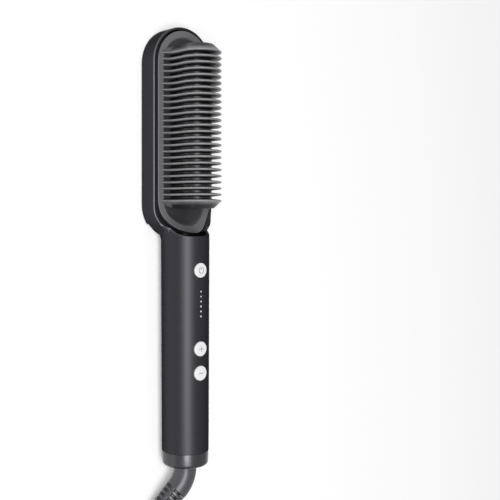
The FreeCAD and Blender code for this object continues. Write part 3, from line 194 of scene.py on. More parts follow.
# %% Where the boot ends
# In mm: a straight collar runs rearward, an arc turns it aside, and the ribbed part goes straight on.
rearward = np.array([0.0, -1.0, 0.0])
boot_heading = np.array([-0.69, -0.69, -0.2187])
boot_heading /= np.linalg.norm(boot_heading)
boot_aside = np.array([boot_heading[0], 0.0, boot_heading[2]])
boot_aside /= np.linalg.norm(boot_aside)
boot_length = 36.0
elbow_start = np.array([0.0, -146.0, 16.0])
elbow_radius = 20.0
elbow_turn = math.acos(-boot_heading[1])
elbow_centre = elbow_start + boot_aside * elbow_radius
elbow_end = (
    elbow_centre
    - boot_aside * elbow_radius * math.cos(elbow_turn)
    + rearward * elbow_radius * math.sin(elbow_turn)
)
boot_tip = elbow_end + boot_heading * boot_length
print("boot tip", np.round(boot_tip, 2), "mm, elbow turns", round(math.degrees(elbow_turn), 1), "degrees")

# %% [markdown]
# The coil's turns run true as circles. Then each steps one cable width aside in a third of a turn:
# inwards on the lowest layer, outwards on the middle one and inwards again on the top one, so that no
# two steps meet. Between the layers the cable climbs by its own width.


# %% The cord's own line
def eased(value, start, end):
    """0 before start, 1 after end, and 3 s^2 - 2 s^3 between, with s the share of the way."""
    s = np.clip((value - start) / (end - start), 0.0, 1.0)
    return s * s * (3.0 - 2.0 * s)


lead_route = [
    (-0.0415, -0.1955, 0.0031),
    (-0.0530, -0.2100, 0.0031),
    (-0.0600, -0.2280, 0.0034),
    (-0.0606, -0.2430, 0.0036),
]
tail_route = [
    (-0.0249, -0.2217, 0.0160),
    (-0.0380, -0.2260, 0.0186),
    (-0.0470, -0.2366, 0.0224),
    (-0.0492, -0.2494, 0.0232),
    (-0.0486, -0.2670, 0.0223),
    (-0.0416, -0.2790, 0.0220),
    (-0.0296, -0.2860, 0.0220),
    (-0.0156, -0.2860, 0.0220),
    (-0.0036, -0.2790, 0.0226),
    (0.0034, -0.2670, 0.0248),
    (0.0034, -0.2540, 0.0257),
]
points_per_turn, turn_count = 24, 7.71
cable_pitch = 6.1
coil_x, coil_y, lowest_turn_z, widest_turn = -22.6, -248.0, 3.6, 38.2
turn = np.arange(1, int(turn_count * points_per_turn) + 1) / points_per_turn
steps_in = eased(turn, 0.67, 1.0) + eased(turn, 1.67, 2.0)
steps_out = eased(turn, 3.27, 3.6) + eased(turn, 4.27, 4.6)
steps_back_in = eased(turn, 5.82, 6.15) + eased(turn, 6.82, 7.15)
layers_up = eased(turn, 2.6, 2.76) + eased(turn, 5.15, 5.31)
# The spline draws a circle of r (3 + cos(step angle)) / 4 from control points on a circle of r.
coil_radius = (widest_turn - cable_pitch * (steps_in - steps_out + steps_back_in)) * 4.0
coil_radius /= 3.0 + math.cos(2.0 * math.pi / points_per_turn)
coil_angle = math.pi + 2.0 * math.pi * turn
coil_route = MM * np.stack(
    [
        coil_x + coil_radius * np.cos(coil_angle),
        coil_y + coil_radius * np.sin(coil_angle),
        lowest_turn_z + cable_pitch * layers_up,
    ],
    axis=1,
)
cord_route = np.vstack([[MM * boot_tip], lead_route, coil_route, tail_route])

cord_curve = bpy.data.curves.new("mains_cord", "CURVE")
cord_curve.dimensions = "3D"
cord_curve.bevel_depth = 0.003
cord_curve.bevel_resolution = 5
cord_curve.resolution_u = 4
cord_curve.use_fill_caps = True
line = cord_curve.splines.new("NURBS")
line.points.add(len(cord_route) - 1)
line.points.foreach_set("co", np.column_stack([cord_route, np.ones(len(cord_route))]).ravel())
line.order_u = 3
line.use_endpoint_u = True
mains_cord = put_in_scene("mains_cord", cord_curve)
dress(cord_curve, cable_jacket)
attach(mains_cord, "cord")
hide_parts("power_cord", "power_cord_coil", "power_cord_tail")
print("cord line is", round(line.calc_length(), 3), "m long with", len(cord_route), "points")

# %% [markdown]
# ## Grids into meshes
# Every surface below is a grid of points worked out as one array. The faces of a grid are always the
# same four-cornered pattern, so one helper builds the mesh, welds the points that meet at seams and
# poles, drops what has collapsed there, and turns all faces outwards. Several grids can share a mesh.


# %% Helpers for grids
def grid_faces(rows, columns, close_rows=False, close_columns=False, first=0):
    """Face (i, j) has corners (i, j), (i, j+1), (i+1, j+1), (i+1, j), wrapping where a side is closed."""
    i, j = np.meshgrid(
        np.arange(rows if close_rows else rows - 1),
        np.arange(columns if close_columns else columns - 1),
        indexing="ij",
    )
    i, j = i.ravel(), j.ravel()
    down, right = (i + 1) % rows, (j + 1) % columns
    corners = [i * columns + j, i * columns + right, down * columns + right, down * columns + j]
    return first + np.stack(corners, axis=1)


def store_mark(mesh, name, amounts):
    """One number from 0 to 1 on each point, for a finish that changes over the piece."""
    layer = mesh.attributes.new(name, "FLOAT", "POINT")
    layer.data.foreach_set("value", np.asarray(amounts, np.float32).ravel())


def mark_points(mesh, name, amount):
    """Stores a mark that is a function of the place: amount(x, y, z), in mm."""
    flat_points = np.empty(len(mesh.vertices) * 3)
    mesh.vertices.foreach_get("co", flat_points)
    x, y, z = flat_points.reshape(-1, 3).T * PER_METRE
    values = np.clip(amount(x, y, z), 0.0, 1.0)
    store_mark(mesh, name, values)
    print(f"{name} on {mesh.name}: mean {values.mean():.2f}")


def build_mesh(name, points, faces, weld=0.002, crease=35.0, mark=None, amounts=None):
    """Welded, outward facing and smooth, with sharp edges past the crease angle. Points are in mm."""
    mesh = bpy.data.meshes.new(name)
    mesh.from_pydata((np.asarray(points, float).reshape(-1, 3) * MM).tolist(), [], faces.tolist())
    if mark:
        store_mark(mesh, mark, amounts)
    work = bmesh.new()
    work.from_mesh(mesh)
    bmesh.ops.remove_doubles(work, verts=work.verts, dist=weld * MM)
    bmesh.ops.dissolve_degenerate(work, edges=work.edges, dist=0.5 * weld * MM)
    bmesh.ops.recalc_face_normals(work, faces=work.faces)
    open_edges = sum(1 for e in work.edges if len(e.link_faces) != 2)
    work.to_mesh(mesh)
    work.free()
    mesh.shade_smooth()
    mesh.set_sharp_from_angle(angle=math.radians(crease))
    print(f"{name}: {len(mesh.polygons)} faces, {open_edges} edges without two faces")
    return mesh


def build_grids(name, grids, close_rows=False, close_columns=False, **options):
    """One mesh of one or more grids, each wrapped where a side is closed."""
    faces, used = [], 0
    for grid in grids:
        faces.append(grid_faces(*grid.shape[:2], close_rows, close_columns, first=used))
        used += grid.shape[0] * grid.shape[1]
    points = np.concatenate([grid.reshape(-1, 3) for grid in grids])
    return build_mesh(name, points, np.concatenate(faces), **options)


def add_piece(name, mesh, material, body, slot, *replaced):
    """Puts a mesh in the scene, on its body, under its finish, for the solids that it stands for."""
    piece = put_in_scene(name, mesh)
    dress(mesh, material)
    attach(piece, body)
    if replaced:
        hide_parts(*replaced)
    return piece


print("mesh helpers ready")

# %% [markdown]
# ## Lines to carry round
# The head, its ring, its panel and the guard all follow a racetrack: two straights between two half
# circles. One helper gives the stations on such a loop and another carries a profile from one to the
# next. A third turns a profile about a straight axis, for what is round.


# %% Helpers for loops
def racetrack_rows(low, high, extra=()):
    """Angle and centre of each station on a loop: half circles about (0, low) and (0, high)."""
    quarter = np.unique(np.append(np.arange(0.0, 90.1, 3.0), list(extra)))
    upper = np.concatenate([quarter, 180.0 - quarter[::-1][1:]])
    lower_right, lower_left = -quarter[::-1], 180.0 + quarter[:-1]
    angle = np.radians(np.concatenate([lower_right, upper, lower_left]))
    centre = np.concatenate(
        [np.full(len(lower_right), low), np.full(len(upper), high), np.full(len(lower_left), low)]
    )
    return angle, centre


def carry_round(profile, angle, centre):
    """A profile of (offset, z) carried round a loop: (o cos a, c + o sin a, z) for each station."""
    offset, height = np.asarray(profile, float).T
    x = offset[None, :] * np.cos(angle)[:, None]
    y = centre[:, None] + offset[None, :] * np.sin(angle)[:, None]
    return np.stack([x, y, np.broadcast_to(height, x.shape)], axis=2)


def turned(profile, axis_point, along, sides=96):
    """A profile of (place along the axis, radius) turned: r cos a and r sin a across, the place along.

    along is 'y' or 'z', and axis_point gives the axis in the other two directions.
    """
    place, radius = np.asarray(profile, float).T
    angle = np.linspace(0.0, 2.0 * math.pi, sides, endpoint=False)[:, None]
    first, second = radius[None, :] * np.cos(angle), radius[None, :] * np.sin(angle)
    run = np.broadcast_to(place, first.shape)
    if along == "y":
        return np.stack([axis_point[0] + first, run, axis_point[1] + second], axis=2)
    return np.stack([axis_point[0] + first, axis_point[1] + second, run], axis=2)


print("loop helpers ready")

# %% [markdown]
# ## The housing
# The handle and the tray of the head are one dark moulding. It could be cut together from solids, but
# the shoulder where the round handle swells into the flat head needs one flowing surface. So its
# section is a function: the distance from the handle's axis at each angle is the softer larger of a
# circle (the tube) and a slab with round corners (the head), and the section is cut off at the height
# of a quarter-circle scoop where the comb's tray begins.

# %% Sizes of the housing
HANDLE_RADIUS = 16.0
AXIS_Z = 16.0  # height of the handle's axis
TOP_Z = 32.0  # height of the handle's top line
REAR_Y, SHOULDER_Y, TIP_Y = -134.5, 2.03, 119.0  # open end, start of the flare, centre of the tip
TAPER, HANDLE_LENGTH = 0.5, 136.53  # the radius shrinks by the taper over that length
FLARE_RADIUS, FLARE_X, FLARE_END = 12.5, 28.5, 10.15  # hollow round from the handle to the head
HEAD_RADIUS, HEAD_Y = 25.0, 26.4  # the head's lower round and its centre
SCOOP_RADIUS, SCOOP_Y = 17.5, 23.5
BORE_RADIUS = 13.6
RECESS_RADIUS, RECESS_Y, RECESS_Z, RECESS_START = 22.6, 27.3, 3.0, 4.7  # seat of the ring in the back
TRAY_RADIUS, TRAY_Y, TRAY_Z, TRAY_START = 23.4, 30.4, 4.4, 9.0  # hollow that takes the comb
print("housing from y", REAR_Y, "to", TIP_Y + HEAD_RADIUS, "mm")


# %% The housing's plan and section
def scoop_height(y, radius):
    """z = 32 - sqrt(radius^2 - (23.5 - y)^2): 32 on the handle, level past y = 23.5."""
    back = np.clip(SCOOP_Y - y, 0.0, radius)
    return TOP_Z - np.sqrt(radius**2 - back**2)


def round_end(y, centre, radius):
    """Half width of a round end: sqrt(radius^2 - (centre - y)^2), and the radius past the centre."""
    return np.sqrt(radius**2 - np.clip(centre - y, 0.0, radius) ** 2)


def flare_width(y):
    """Half width of the flare: 28.5 - sqrt(12.5^2 - (y - 2)^2)."""
    return FLARE_X - np.sqrt(FLARE_RADIUS**2 - np.clip(y - SHOULDER_Y, 0.0, FLARE_RADIUS) ** 2)


def half_width(y):
    """Plan of the head: the flare out of the handle, then the round of 25, then 25."""
    return np.where(y < FLARE_END, flare_width(y), round_end(y, HEAD_Y, HEAD_RADIUS))


def soft_max(a, b, reach):
    """max(a, b) + h^2 reach / 4, with h = max(reach - |a - b|, 0) / reach."""
    h = np.clip(reach - np.abs(a - b), 0.0, None) / np.maximum(reach, 1e-6)
    return np.maximum(a, b) + h * h * reach / 4.0


def outside(angle, y):
    """Distance of the skin from the handle's axis at an angle above the horizontal, in the section y.

    slab = 1 / ((|cos| / w)^n + (|sin| / h)^n)^(1/n), with h = 16 and n from 8 to 20 below the axis,
    h = 4 and n = 3 above it, kept inside the flare until the flare ends; tube = 16 less its taper;
    the skin is their soft maximum, and past y = 30 only the slab.
    """
    c, s = np.abs(np.cos(angle)), np.abs(np.sin(angle))
    power = np.where(angle < 0, 8.0 + 12.0 * eased(y, 8.0, 28.0), 3.0)
    tall = np.where(angle < 0, AXIS_Z, 4.0)
    slab = ((c / half_width(y)) ** power + (s / tall) ** power) ** (-1.0 / power)
    flare = flare_width(y) + 40.0 * eased(y, 13.5, 18.0)
    slab = -soft_max(-slab, -flare, 2.0 * eased(y, 2.0, 9.0))
    tube = HANDLE_RADIUS - TAPER * np.clip(SHOULDER_Y - y, 0.0, None) / HANDLE_LENGTH
    skin = soft_max(tube, np.where(y > SHOULDER_Y, slab, 0.0), 3.0 * eased(y, 2.0, 12.0))
    return np.where(y > 30.0, slab, skin)


shoulder_widths = half_width(np.array([3.0, 8.0, 15.0, 26.0]))
print("half width of the head at the shoulder:", np.round(shoulder_widths, 2))

# %% [markdown]
# The sections stand close together where the shape changes fast: where the round recess for the back
# ring starts, and where the scoop climbs almost straight up. There they follow the angle of those
# arcs instead of even steps. Where the recess and the tray start, two sections stand at one place, one
# before the wall and one after it.

# %% Where the sections stand
sweep = np.radians(np.arange(0.0, 90.1, 3.0))
stations = np.concatenate(
    [
        np.linspace(REAR_Y, 2.0, 30),
        [2.6, 3.3, 4.0, 4.4, 6.0, 6.17, 7.0, 9.0, 28.5, 30.0],
        RECESS_START + RECESS_RADIUS * (1.0 - np.cos(sweep)),
        SCOOP_Y - SCOOP_RADIUS * np.cos(sweep),
        np.linspace(34.0, TIP_Y, 18),
    ]
)
stations = np.unique(np.round(stations, 2))
stations = np.sort(np.concatenate([stations, [RECESS_START, TRAY_START]]))
is_second = np.append(False, stations[1:] == stations[:-1])
recess_open = (stations > RECESS_START) | ((stations == RECESS_START) & is_second)
tray_open = (stations > TRAY_START) | ((stations == TRAY_START) & is_second)
print(len(stations), "sections, recess in", recess_open.sum(), "and tray in", tray_open.sum())

# %% [markdown]
# Each half section is one line of points: from the middle of the back up the outer skin, over the rim
# with its soft edges, and down the inner wall to the middle of the floor.

# %% The line of one section
SKIN_POINTS = 61  # as many points lead back down inside
WALL_POINTS = 21  # of those inside, where the tray is open
skin_part = slice(2, 2 + SKIN_POINTS)
rim_part = slice(2 + SKIN_POINTS, 8 + SKIN_POINTS)
inside_part = slice(8 + SKIN_POINTS, None)


def rim_round(edge, top, soft, turn, inwards):
    """A round at the rim: (edge + i s (1 - cos t), top - s + s sin t), with s its radius, i 1 or -1."""
    x = edge[:, None] + inwards * soft[:, None] * (1 - np.cos(turn))
    z = (top - soft)[:, None] + soft[:, None] * np.sin(turn)
    return np.stack([x, z], axis=2)


def inside_rows(top, tray, cavity):
    """From top down: the tray's wall and floor where it is open, else the bore (r cos a, r sin a)."""
    climb = (np.minimum(top, AXIS_Z + BORE_RADIUS) - AXIS_Z) / BORE_RADIUS
    first = np.where(cavity, 0.0, np.arcsin(np.clip(climb, -1.0, 1.0)))
    bend = first[:, None] + (-math.pi / 2 - first)[:, None] * np.linspace(0.0, 1.0, SKIN_POINTS)[None, :]
    in_bore = np.stack([BORE_RADIUS * np.cos(bend), AXIS_Z + BORE_RADIUS * np.sin(bend)], axis=2)
    drop = np.linspace(0.0, 1.0, WALL_POINTS)[None, :]
    wall_z = top[:, None] * (1 - drop) + TRAY_Z * drop
    wall = np.stack([np.repeat(tray[:, None], WALL_POINTS, axis=1), wall_z], axis=2)
    across = np.linspace(1.0, 0.0, SKIN_POINTS - WALL_POINTS)[None, :] * tray[:, None]
    level = np.stack([across, np.full_like(across, TRAY_Z)], axis=2)
    return np.where(cavity[:, None, None], np.concatenate([wall, level], axis=1), in_bore)


def section_rows(y, recess, cavity):
    """Half sections as (offset, z): recess, skin, rim with soft edges, inner wall and floor."""
    ring = np.where(recess, round_end(y, RECESS_Y, RECESS_RADIUS), 0.0)
    tray = round_end(y, TRAY_Y, TRAY_RADIUS)
    top = scoop_height(y, SCOOP_RADIUS)
    whole = top > TOP_Z - 0.001
    start = -math.pi / 2 + np.arctan2(ring, AXIS_Z)
    dense = start[:, None] + (math.pi / 2 - start[:, None]) * np.linspace(0.0, 1.0, 1201)[None, :]
    dense_z = np.maximum(AXIS_Z + outside(dense, y[:, None]) * np.sin(dense), 0.0)

    def angle_at(height):
        """The angle at which the skin reaches a height, looked up in a dense sweep."""
        found = np.array([np.interp(t, h, d) for t, h, d in zip(height, dense_z, dense)])
        return np.where(whole, math.pi / 2, found)

    bore = np.sqrt(np.clip(BORE_RADIUS**2 - (top - AXIS_Z) ** 2, 0.0, None))
    inner = np.where(cavity, tray, np.where(top < AXIS_Z + BORE_RADIUS, bore, 0.0))
    at_top = angle_at(top)
    width = outside(at_top, y) * np.cos(at_top)
    soft = np.clip(0.45 * (width - inner), 0.0, 0.7)
    soft_in = np.minimum(np.clip(0.3 * (width - inner), 0.0, 0.25), inner * 0.5)
    end = angle_at(top - soft)
    angle = start[:, None] + (end - start)[:, None] * np.linspace(0.0, 1.0, SKIN_POINTS)[None, :]
    reach = outside(angle, y[:, None])
    skin = np.stack([reach * np.cos(angle), np.maximum(AXIS_Z + reach * np.sin(angle), 0.0)], axis=2)
    under = outside(np.full(len(y), -math.pi / 2), y)
    bottom = np.where(recess, 0.0, np.maximum(AXIS_Z - under, 0.0))
    skin[:, 0] = np.stack([ring, bottom], axis=1)
    skin[:, -1, 0] = np.where(whole, 0.0, skin[:, -1, 0])
    floor_z = np.where(recess, RECESS_Z, bottom)
    base = np.stack([np.stack([0.0 * ring, floor_z], axis=1), np.stack([ring, floor_z], axis=1)], axis=1)
    turn_over = np.radians([30.0, 60.0, 90.0])[None, :]
    rim_out = rim_round(width, top, soft, turn_over, -1.0)
    rim_in = rim_round(inner, top, soft_in, turn_over[:, ::-1], 1.0)
    inside = inside_rows(top - soft_in, tray, cavity)
    return np.concatenate([base, skin, rim_out, rim_in, inside], axis=1)


rows = section_rows(stations, recess_open, tray_open)
print("housing rows:", rows.shape)

# %% [markdown]
# The half section runs up one side of the brush, turns half way round the tip of the head and comes back
# down the other side, and the two halves are welded along the middle. At the handle's open end the outer
# and inner lines are drawn together, which makes the cut face of the tube. The rim's soft edge gets a mark
# that paints it a little brighter than the satin skin: a painted highlight where the edge catches the lamp.

# %% The housing's surface
REAR_RADIUS = HANDLE_RADIUS - TAPER
MID_WALL = 14.55  # radius at which the outer and the inner line meet
end_face = rows[:1].copy()
for part, radius in ((skin_part, REAR_RADIUS), (inside_part, BORE_RADIUS)):
    end_face[:, part, 0] *= MID_WALL / radius
    end_face[:, part, 1] = AXIS_Z + (end_face[:, part, 1] - AXIS_Z) * MID_WALL / radius
end_face[:, rim_part] = end_face[:, 1 + SKIN_POINTS : 2 + SKIN_POINTS]
end_face[:, :2] = end_face[:, 2:3]
rows = np.concatenate([end_face, rows])
places = np.concatenate([stations[:1], stations])
run = np.repeat(places[:, None], rows.shape[1], axis=1)
side = np.stack([rows[:, :, 0], run, rows[:, :, 1]], axis=2)
round_tip = np.radians(np.arange(3.0, 179.0, 3.0))
tip_section = rows[-1]
tip = np.stack(
    [
        tip_section[None, :, 0] * np.cos(round_tip)[:, None],
        TIP_Y + tip_section[None, :, 0] * np.sin(round_tip)[:, None],
        np.repeat(tip_section[None, :, 1], len(round_tip), axis=0),
    ],
    axis=2,
)
other_side = side[::-1] * np.array([-1.0, 1.0, 1.0])
housing_points = np.concatenate([side, tip, other_side])
housing_faces = grid_faces(*housing_points.shape[:2])
flat = housing_points.reshape(-1, 3)
folded = (np.abs(flat[housing_faces][:, :, 0]) < 1e-6).all(axis=1)  # lies flat in the middle plane
# The rim's mark is a painted highlight along the soft edge of the rim.
rim_highlight_amount = np.zeros(housing_points.shape[:2])
beyond_scoop = housing_points[:, 0, 1] > 6.2
rim_highlight_amount[beyond_scoop, SKIN_POINTS + 1 : SKIN_POINTS + 4] = (0.7, 1.0, 0.5)
housing_mesh = build_mesh(
    "housing_skin", flat, housing_faces[~folded], weld=0.004, mark="painted_rim_highlight", amounts=rim_highlight_amount
)

# %% [markdown]
# ## Holes for the buttons and lights
# On the real moulding these are shut-outs in the tool. Cutting them out of the finished surface keeps
# the tube around them exactly round, which building the holes into the grid would not.

# %% Cut the holes
button_places = {"power": -15.9, "plus": -66.7, "minus": -82.4}
light_places = -29.6 - 3.22 * np.arange(6)
button_hole, light_hole = 5.2, 0.52
cut_low, cut_high = 24.0, 40.0  # from inside the bore to above the handle
drums = [
    turned([(cut_low, 0.0), (cut_low, radius), (cut_high, radius), (cut_high, 0.0)], (0.0, y), "z", sides)
    for spots, radius, sides in ((button_places.values(), button_hole, 96), (light_places, light_hole, 24))
    for y in spots
]
cutter = put_in_scene("hole_cutter", build_grids("hole_cutter", drums, close_rows=True))
blank = put_in_scene("housing_blank", housing_mesh)
holes = blank.modifiers.new("holes", "BOOLEAN")
holes.operation = "DIFFERENCE"
holes.solver = "EXACT"
holes.object = cutter
drilled = bpy.data.meshes.new_from_object(blank.evaluated_get(bpy.context.evaluated_depsgraph_get()))
bpy.data.objects.remove(blank)
bpy.data.objects.remove(cutter)
drilled.name = "housing_skin"
drilled.shade_smooth()
drilled.set_sharp_from_angle(angle=math.radians(35.0))
print("drilled housing has", len(drilled.polygons), "faces")

# %% [markdown]
# ## The housing's satin finish
# The moulding is dark satin plastic. A plain plastic shader would spread its shine over the whole
# handle, so this one is mostly metallic, dark and fairly rough, with its light at flat angles held
# back: one soft shine down the middle and dark flanks.

# %% Finish the housing
# The marked colour is the painted highlight on the housing's rim.
shell_plastic = make_finish(
    "shell_plastic", (62, 62, 66), 0.45, metallic=0.85, grain=2600, bump=0.000003, vary=0.06, specular=0.4,
    rough_vary=0.03, mark="painted_rim_highlight", marked_colour=(118, 118, 122), edge_tint=0.1,
)
add_piece("housing_skin", drilled, shell_plastic, "housing", "dark_shell", "body_housing")
print("housing finished in", shell_plastic.name)

# %% [markdown]
# ## The ring and the glossy panel of the back
# A coloured metal ring frames a glossy black panel on the back of the head. Both are profiles carried
# round the same racetrack line: the ring's is a low crown with rolled edges, the panel's is flat with
# a small round at its edge, and it closes on the middle line.

# %% Ring and panel
loop_angle, loop_centre = racetrack_rows(RECESS_Y, TIP_Y)
crown = np.radians(np.linspace(0.0, 180.0, 15))
ring_profile = np.concatenate(
    [
        [(22.55, 3.0), (22.55, 1.0)],
        np.column_stack([20.55 + 1.95 * np.cos(crown), 0.9 * (1.0 - np.sin(crown) ** 0.6)])[1:-1],
        [(18.55, 1.0), (18.55, 3.0)],
    ]
)
ring_points = carry_round(ring_profile, loop_angle, loop_centre)
ring_mesh = build_grids("ring_band", [ring_points], True, True, crease=50)
ring_metal = make_finish(
    "ring_metal", (205, 105, 208), 0.3, metallic=0.85, grain=3000, bump=0.000002, vary=0.04, rough_vary=0.05
)
add_piece("ring_band", ring_mesh, ring_metal, "housing", "purple_ring", "back_ring")
panel_edge = np.radians(np.linspace(0.0, 90.0, 5))
panel_profile = np.concatenate(
    [
        [(0.0, 3.0), (18.4, 3.0), (18.4, 1.1)],
        np.column_stack([17.7 + 0.7 * np.cos(panel_edge), 1.05 - 0.7 * np.sin(panel_edge)]),
        [(16.0, 0.3), (0.0, 0.3)],
    ]
)
panel_points = carry_round(panel_profile, loop_angle, loop_centre)
panel_mesh = build_grids("gloss_panel", [panel_points], True, crease=50)
panel_gloss = make_finish(
    "panel_gloss", (7, 7, 9), 0.08, grain=400, bump=0.0, vary=0.03, specular=0.35, coat=0.1, rough_vary=0.03
)
add_piece("gloss_panel", panel_mesh, panel_gloss, "housing", "black_gloss", "back_panel")

# %% [markdown]
# ## The comb guard
# The guard is a softly shining grey plate that drops into the tray, with a raised band round its edge,
# a long window for the heated comb, and thin ribs that arch over that comb so that no skin touches it.
# Its plate is a grid between the racetrack outline and the window, laid on the scoop's height. A mark
# paints shade into the recess inside the band and onto the skirt under it, so the band stays lighter.

# %% The guard's plate
GUARD_Y = 30.6  # centre of the guard's lower round; the upper one is the head's
GUARD_SCOOP = 16.2
BAND_RADIUS, STEP_RADIUS, LINING_RADIUS = 22.4, 17.8, 20.9
SKIRT_Z = 4.6
WINDOW_X, WINDOW_LOW, WINDOW_HIGH = 11.6, 1.6, 6.0  # half width, and its reach past each centre


def guard_top(y):
    """Height of the guard's band: the scoop with a radius of 16.2."""
    return scoop_height(y, GUARD_SCOOP)


def guard_plate_grid():
    """Stations round the outline, and for each one points from the skirt over the band to the window.

    Then the lining runs back under the plate. Each point is (r cos a, c + r sin a) in plan, at the
    band's height and a rise.
    """
    corners = [math.degrees(math.atan2(reach, WINDOW_X)) for reach in (WINDOW_LOW, WINDOW_HIGH)]
    angle, centre = racetrack_rows(GUARD_Y, TIP_Y, extra=corners)
    c, s = np.cos(angle), np.sin(angle)
    tall = np.where(centre > 100.0, WINDOW_HIGH, WINDOW_LOW)
    to_window = np.minimum(WINDOW_X / np.maximum(np.abs(c), 1e-9), tall / np.maximum(np.abs(s), 1e-9))

    def plan_at(radius):
        return np.stack([radius * c, centre + radius * s], axis=1)

    def on_band(plan, rise):
        return np.column_stack([plan, guard_top(plan[:, 1]) + rise])

    window, step_line, lining = plan_at(to_window), plan_at(STEP_RADIUS), plan_at(LINING_RADIUS)
    columns = [np.column_stack([plan_at(BAND_RADIUS), np.full(len(angle), SKIRT_Z)])]
    for inset, drop in ((0.0, 0.6), (0.06, 0.3), (0.2, 0.1), (0.45, 0.0)):
        columns.append(on_band(plan_at(BAND_RADIUS - inset), -drop))
    for radius in np.linspace(21.3, 18.3, 7):
        columns.append(on_band(plan_at(radius), 0.0))
    for inset, drop in ((0.25, 0.03), (0.08, 0.15), (0.0, 0.4), (-0.05, 0.7), (-0.25, 0.8)):
        columns.append(on_band(plan_at(STEP_RADIUS + inset), -drop))
    for share in np.linspace(0.08, 0.96, 9):
        columns.append(on_band(step_line * (1 - share) + window * share, -0.8))
    columns.append(on_band(step_line * 0.01 + window * 0.99, -0.9))
    columns.append(on_band(window, -1.1))
    for share in np.linspace(1.0, 0.0, 12):
        columns.append(on_band(lining * (1 - share) + window * share, -2.0))
    columns.append(np.column_stack([lining, np.full(len(angle), SKIRT_Z)]))
    return np.stack(columns, axis=1)


def guard_recess_shade(x, y, z):
    """Painted shade: 1 inside the step line, 0 on the band, and 1 again on the skirt under the band's rim.
    """
    radius = np.hypot(x, y - np.clip(y, GUARD_Y, TIP_Y))
    skirt = eased(guard_top(y) - z, 0.2, 0.6) * eased(radius, 20.0, 21.0)
    return 1.0 - eased(radius, 17.3, 17.9) + skirt


guard_mesh = build_grids("guard_plate", [guard_plate_grid()], True, True, crease=40)
mark_points(guard_mesh, "recess", guard_recess_shade)
# The marked colour is painted shade in the recess and on the skirt under the band.
guard_plastic = make_finish(
    "guard_plastic", (106, 106, 109), 0.38, grain=2200, bump=0.000005, vary=0.05, specular=0.35,
    rough_vary=0.05, mark="recess", marked_colour=(48, 48, 51),
)
add_piece("guard_plate", guard_mesh, guard_plastic, "housing", "grey_guard", "comb_guard")

# %% [markdown]
# ## The ribs
# Each rib is a thin wall with an arched top. In section it is a wedge: about 2.4 mm thick at its
# core, thinning to a rounded edge of 1.3 mm. Carrying that wedge up one side, round the half circle
# and down the other side gives the rib. Just above the plate it spreads into a small foot on each side.
# The first and the last rib are thicker on their outer sides. A mark paints the thin outer edges pale, a
# painted highlight, while the rest of each rib is painted dark as shade in the depth between the ribs.

# %% The ribs as one surface function
RIB_COUNT, RIB_PITCH, FIRST_RIB_Y = 25, 4.0, 29.0
RIB_RADIUS, RIB_Z = 14.2, 30.6  # the arch and the height of its centre
NOSE_RADIUS, RIB_CORE, END_CORE = 0.65, 1.2, 4.9  # half thicknesses


def rib_grid(y, low_core, high_core):
    """The wedge (offset, thickness) carried along the arch of radius 14.2 about z = 30.6.

    Below the arch the offset is stretched by a foot of 6 exp((15.8 - z) / 2.4) mm, at most 6 mm.
    """
    bend = np.radians(np.arange(0.0, 180.1, 7.5))
    climb = np.array([14.4, 14.4, 15.6, 16.4, 17.4, 18.8, 21.0, 25.0])
    foot = np.minimum(6.0 * np.exp((15.8 - climb) / 2.4), 6.0)
    level = np.zeros(len(climb))
    path_z = np.concatenate([climb, np.full(len(bend), RIB_Z), climb[::-1]])
    out_x = np.concatenate([level + 1.0, np.cos(bend), level - 1.0])
    out_z = np.concatenate([level, np.sin(bend), level])
    spread = np.concatenate([foot, np.zeros(len(bend)), foot[::-1]])
    flatten = np.ones(len(path_z))
    flatten[[0, -1]] = 0.0
    edge = np.radians(np.linspace(90.0, -90.0, 7))
    nose = RIB_RADIUS - NOSE_RADIUS + NOSE_RADIUS * np.cos(edge)
    offset = np.concatenate([[0.0, 5.0, 9.2, 11.4], nose, [11.4, 9.2, 5.0, 0.0]])
    high = np.array([high_core, high_core, high_core, (high_core + NOSE_RADIUS) / 2])
    low = np.array([low_core, low_core, low_core, (low_core + NOSE_RADIUS) / 2])
    thick = np.concatenate([high, NOSE_RADIUS * np.sin(edge), -low[::-1]])
    reach = offset[None, :] * (1.0 + spread[:, None] / RIB_RADIUS)
    x = out_x[:, None] * reach
    z = path_z[:, None] + out_z[:, None] * reach
    return np.stack([x, y + thick[None, :] * flatten[:, None], z], axis=2)


def rib_painted_light(x, y, z):
    """1 for the painted highlight on a rib's outer edge and 0 for the painted shade in its depth, and
    towards the foot only a third as much.
    """
    radius = np.hypot(x, np.clip(z - RIB_Z, 0.0, None))
    return eased(radius, 12.7, 14.1) * (0.35 + 0.65 * eased(z, 15.0, 24.0))


low_cores = [END_CORE] + [RIB_CORE] * (RIB_COUNT - 1)
ribs = [
    rib_grid(FIRST_RIB_Y + RIB_PITCH * i, low_cores[i], low_cores[-1 - i]) for i in range(RIB_COUNT)
]
rib_mesh = build_grids("guard_ribs", ribs)
mark_points(rib_mesh, "painted_edge_light", rib_painted_light)
# The dark base colour is painted shade between the ribs, and the marked colour a painted highlight on their
# edges.
rib_painted_shading = make_finish(
    "rib_painted_shading", (34, 34, 36), 0.36, grain=2400, bump=0.000004, vary=0.06, specular=0.35, rough_vary=0.05,
    mark="painted_edge_light", marked_colour=(142, 142, 145),
)
add_piece("guard_ribs", rib_mesh, rib_painted_shading, "housing", "grey_guard", "comb_guard")

# %% [markdown]
# ## The heated comb
# Between the ribs stands the comb that does the work, cast in aluminium under a dark hard coating. Its
# solid already has the right fins, so it stays and only gets its coating.

# %% The comb's coating
comb_coating = make_finish(
    "comb_coating", (38, 37, 39), 0.38, metallic=0.2, grain=2500, bump=0.000005, vary=0.08, specular=0.5
)
dress(frame["nodes"]["heater_comb"].data, comb_coating)
print("heated comb coated")

# %% [markdown]
# ## The end cap
# A turned ring of dark chrome closes the handle. It is one profile turned about the handle's axis, with
# a round of 2.2 mm at its rear edge and a mouth for the boot.

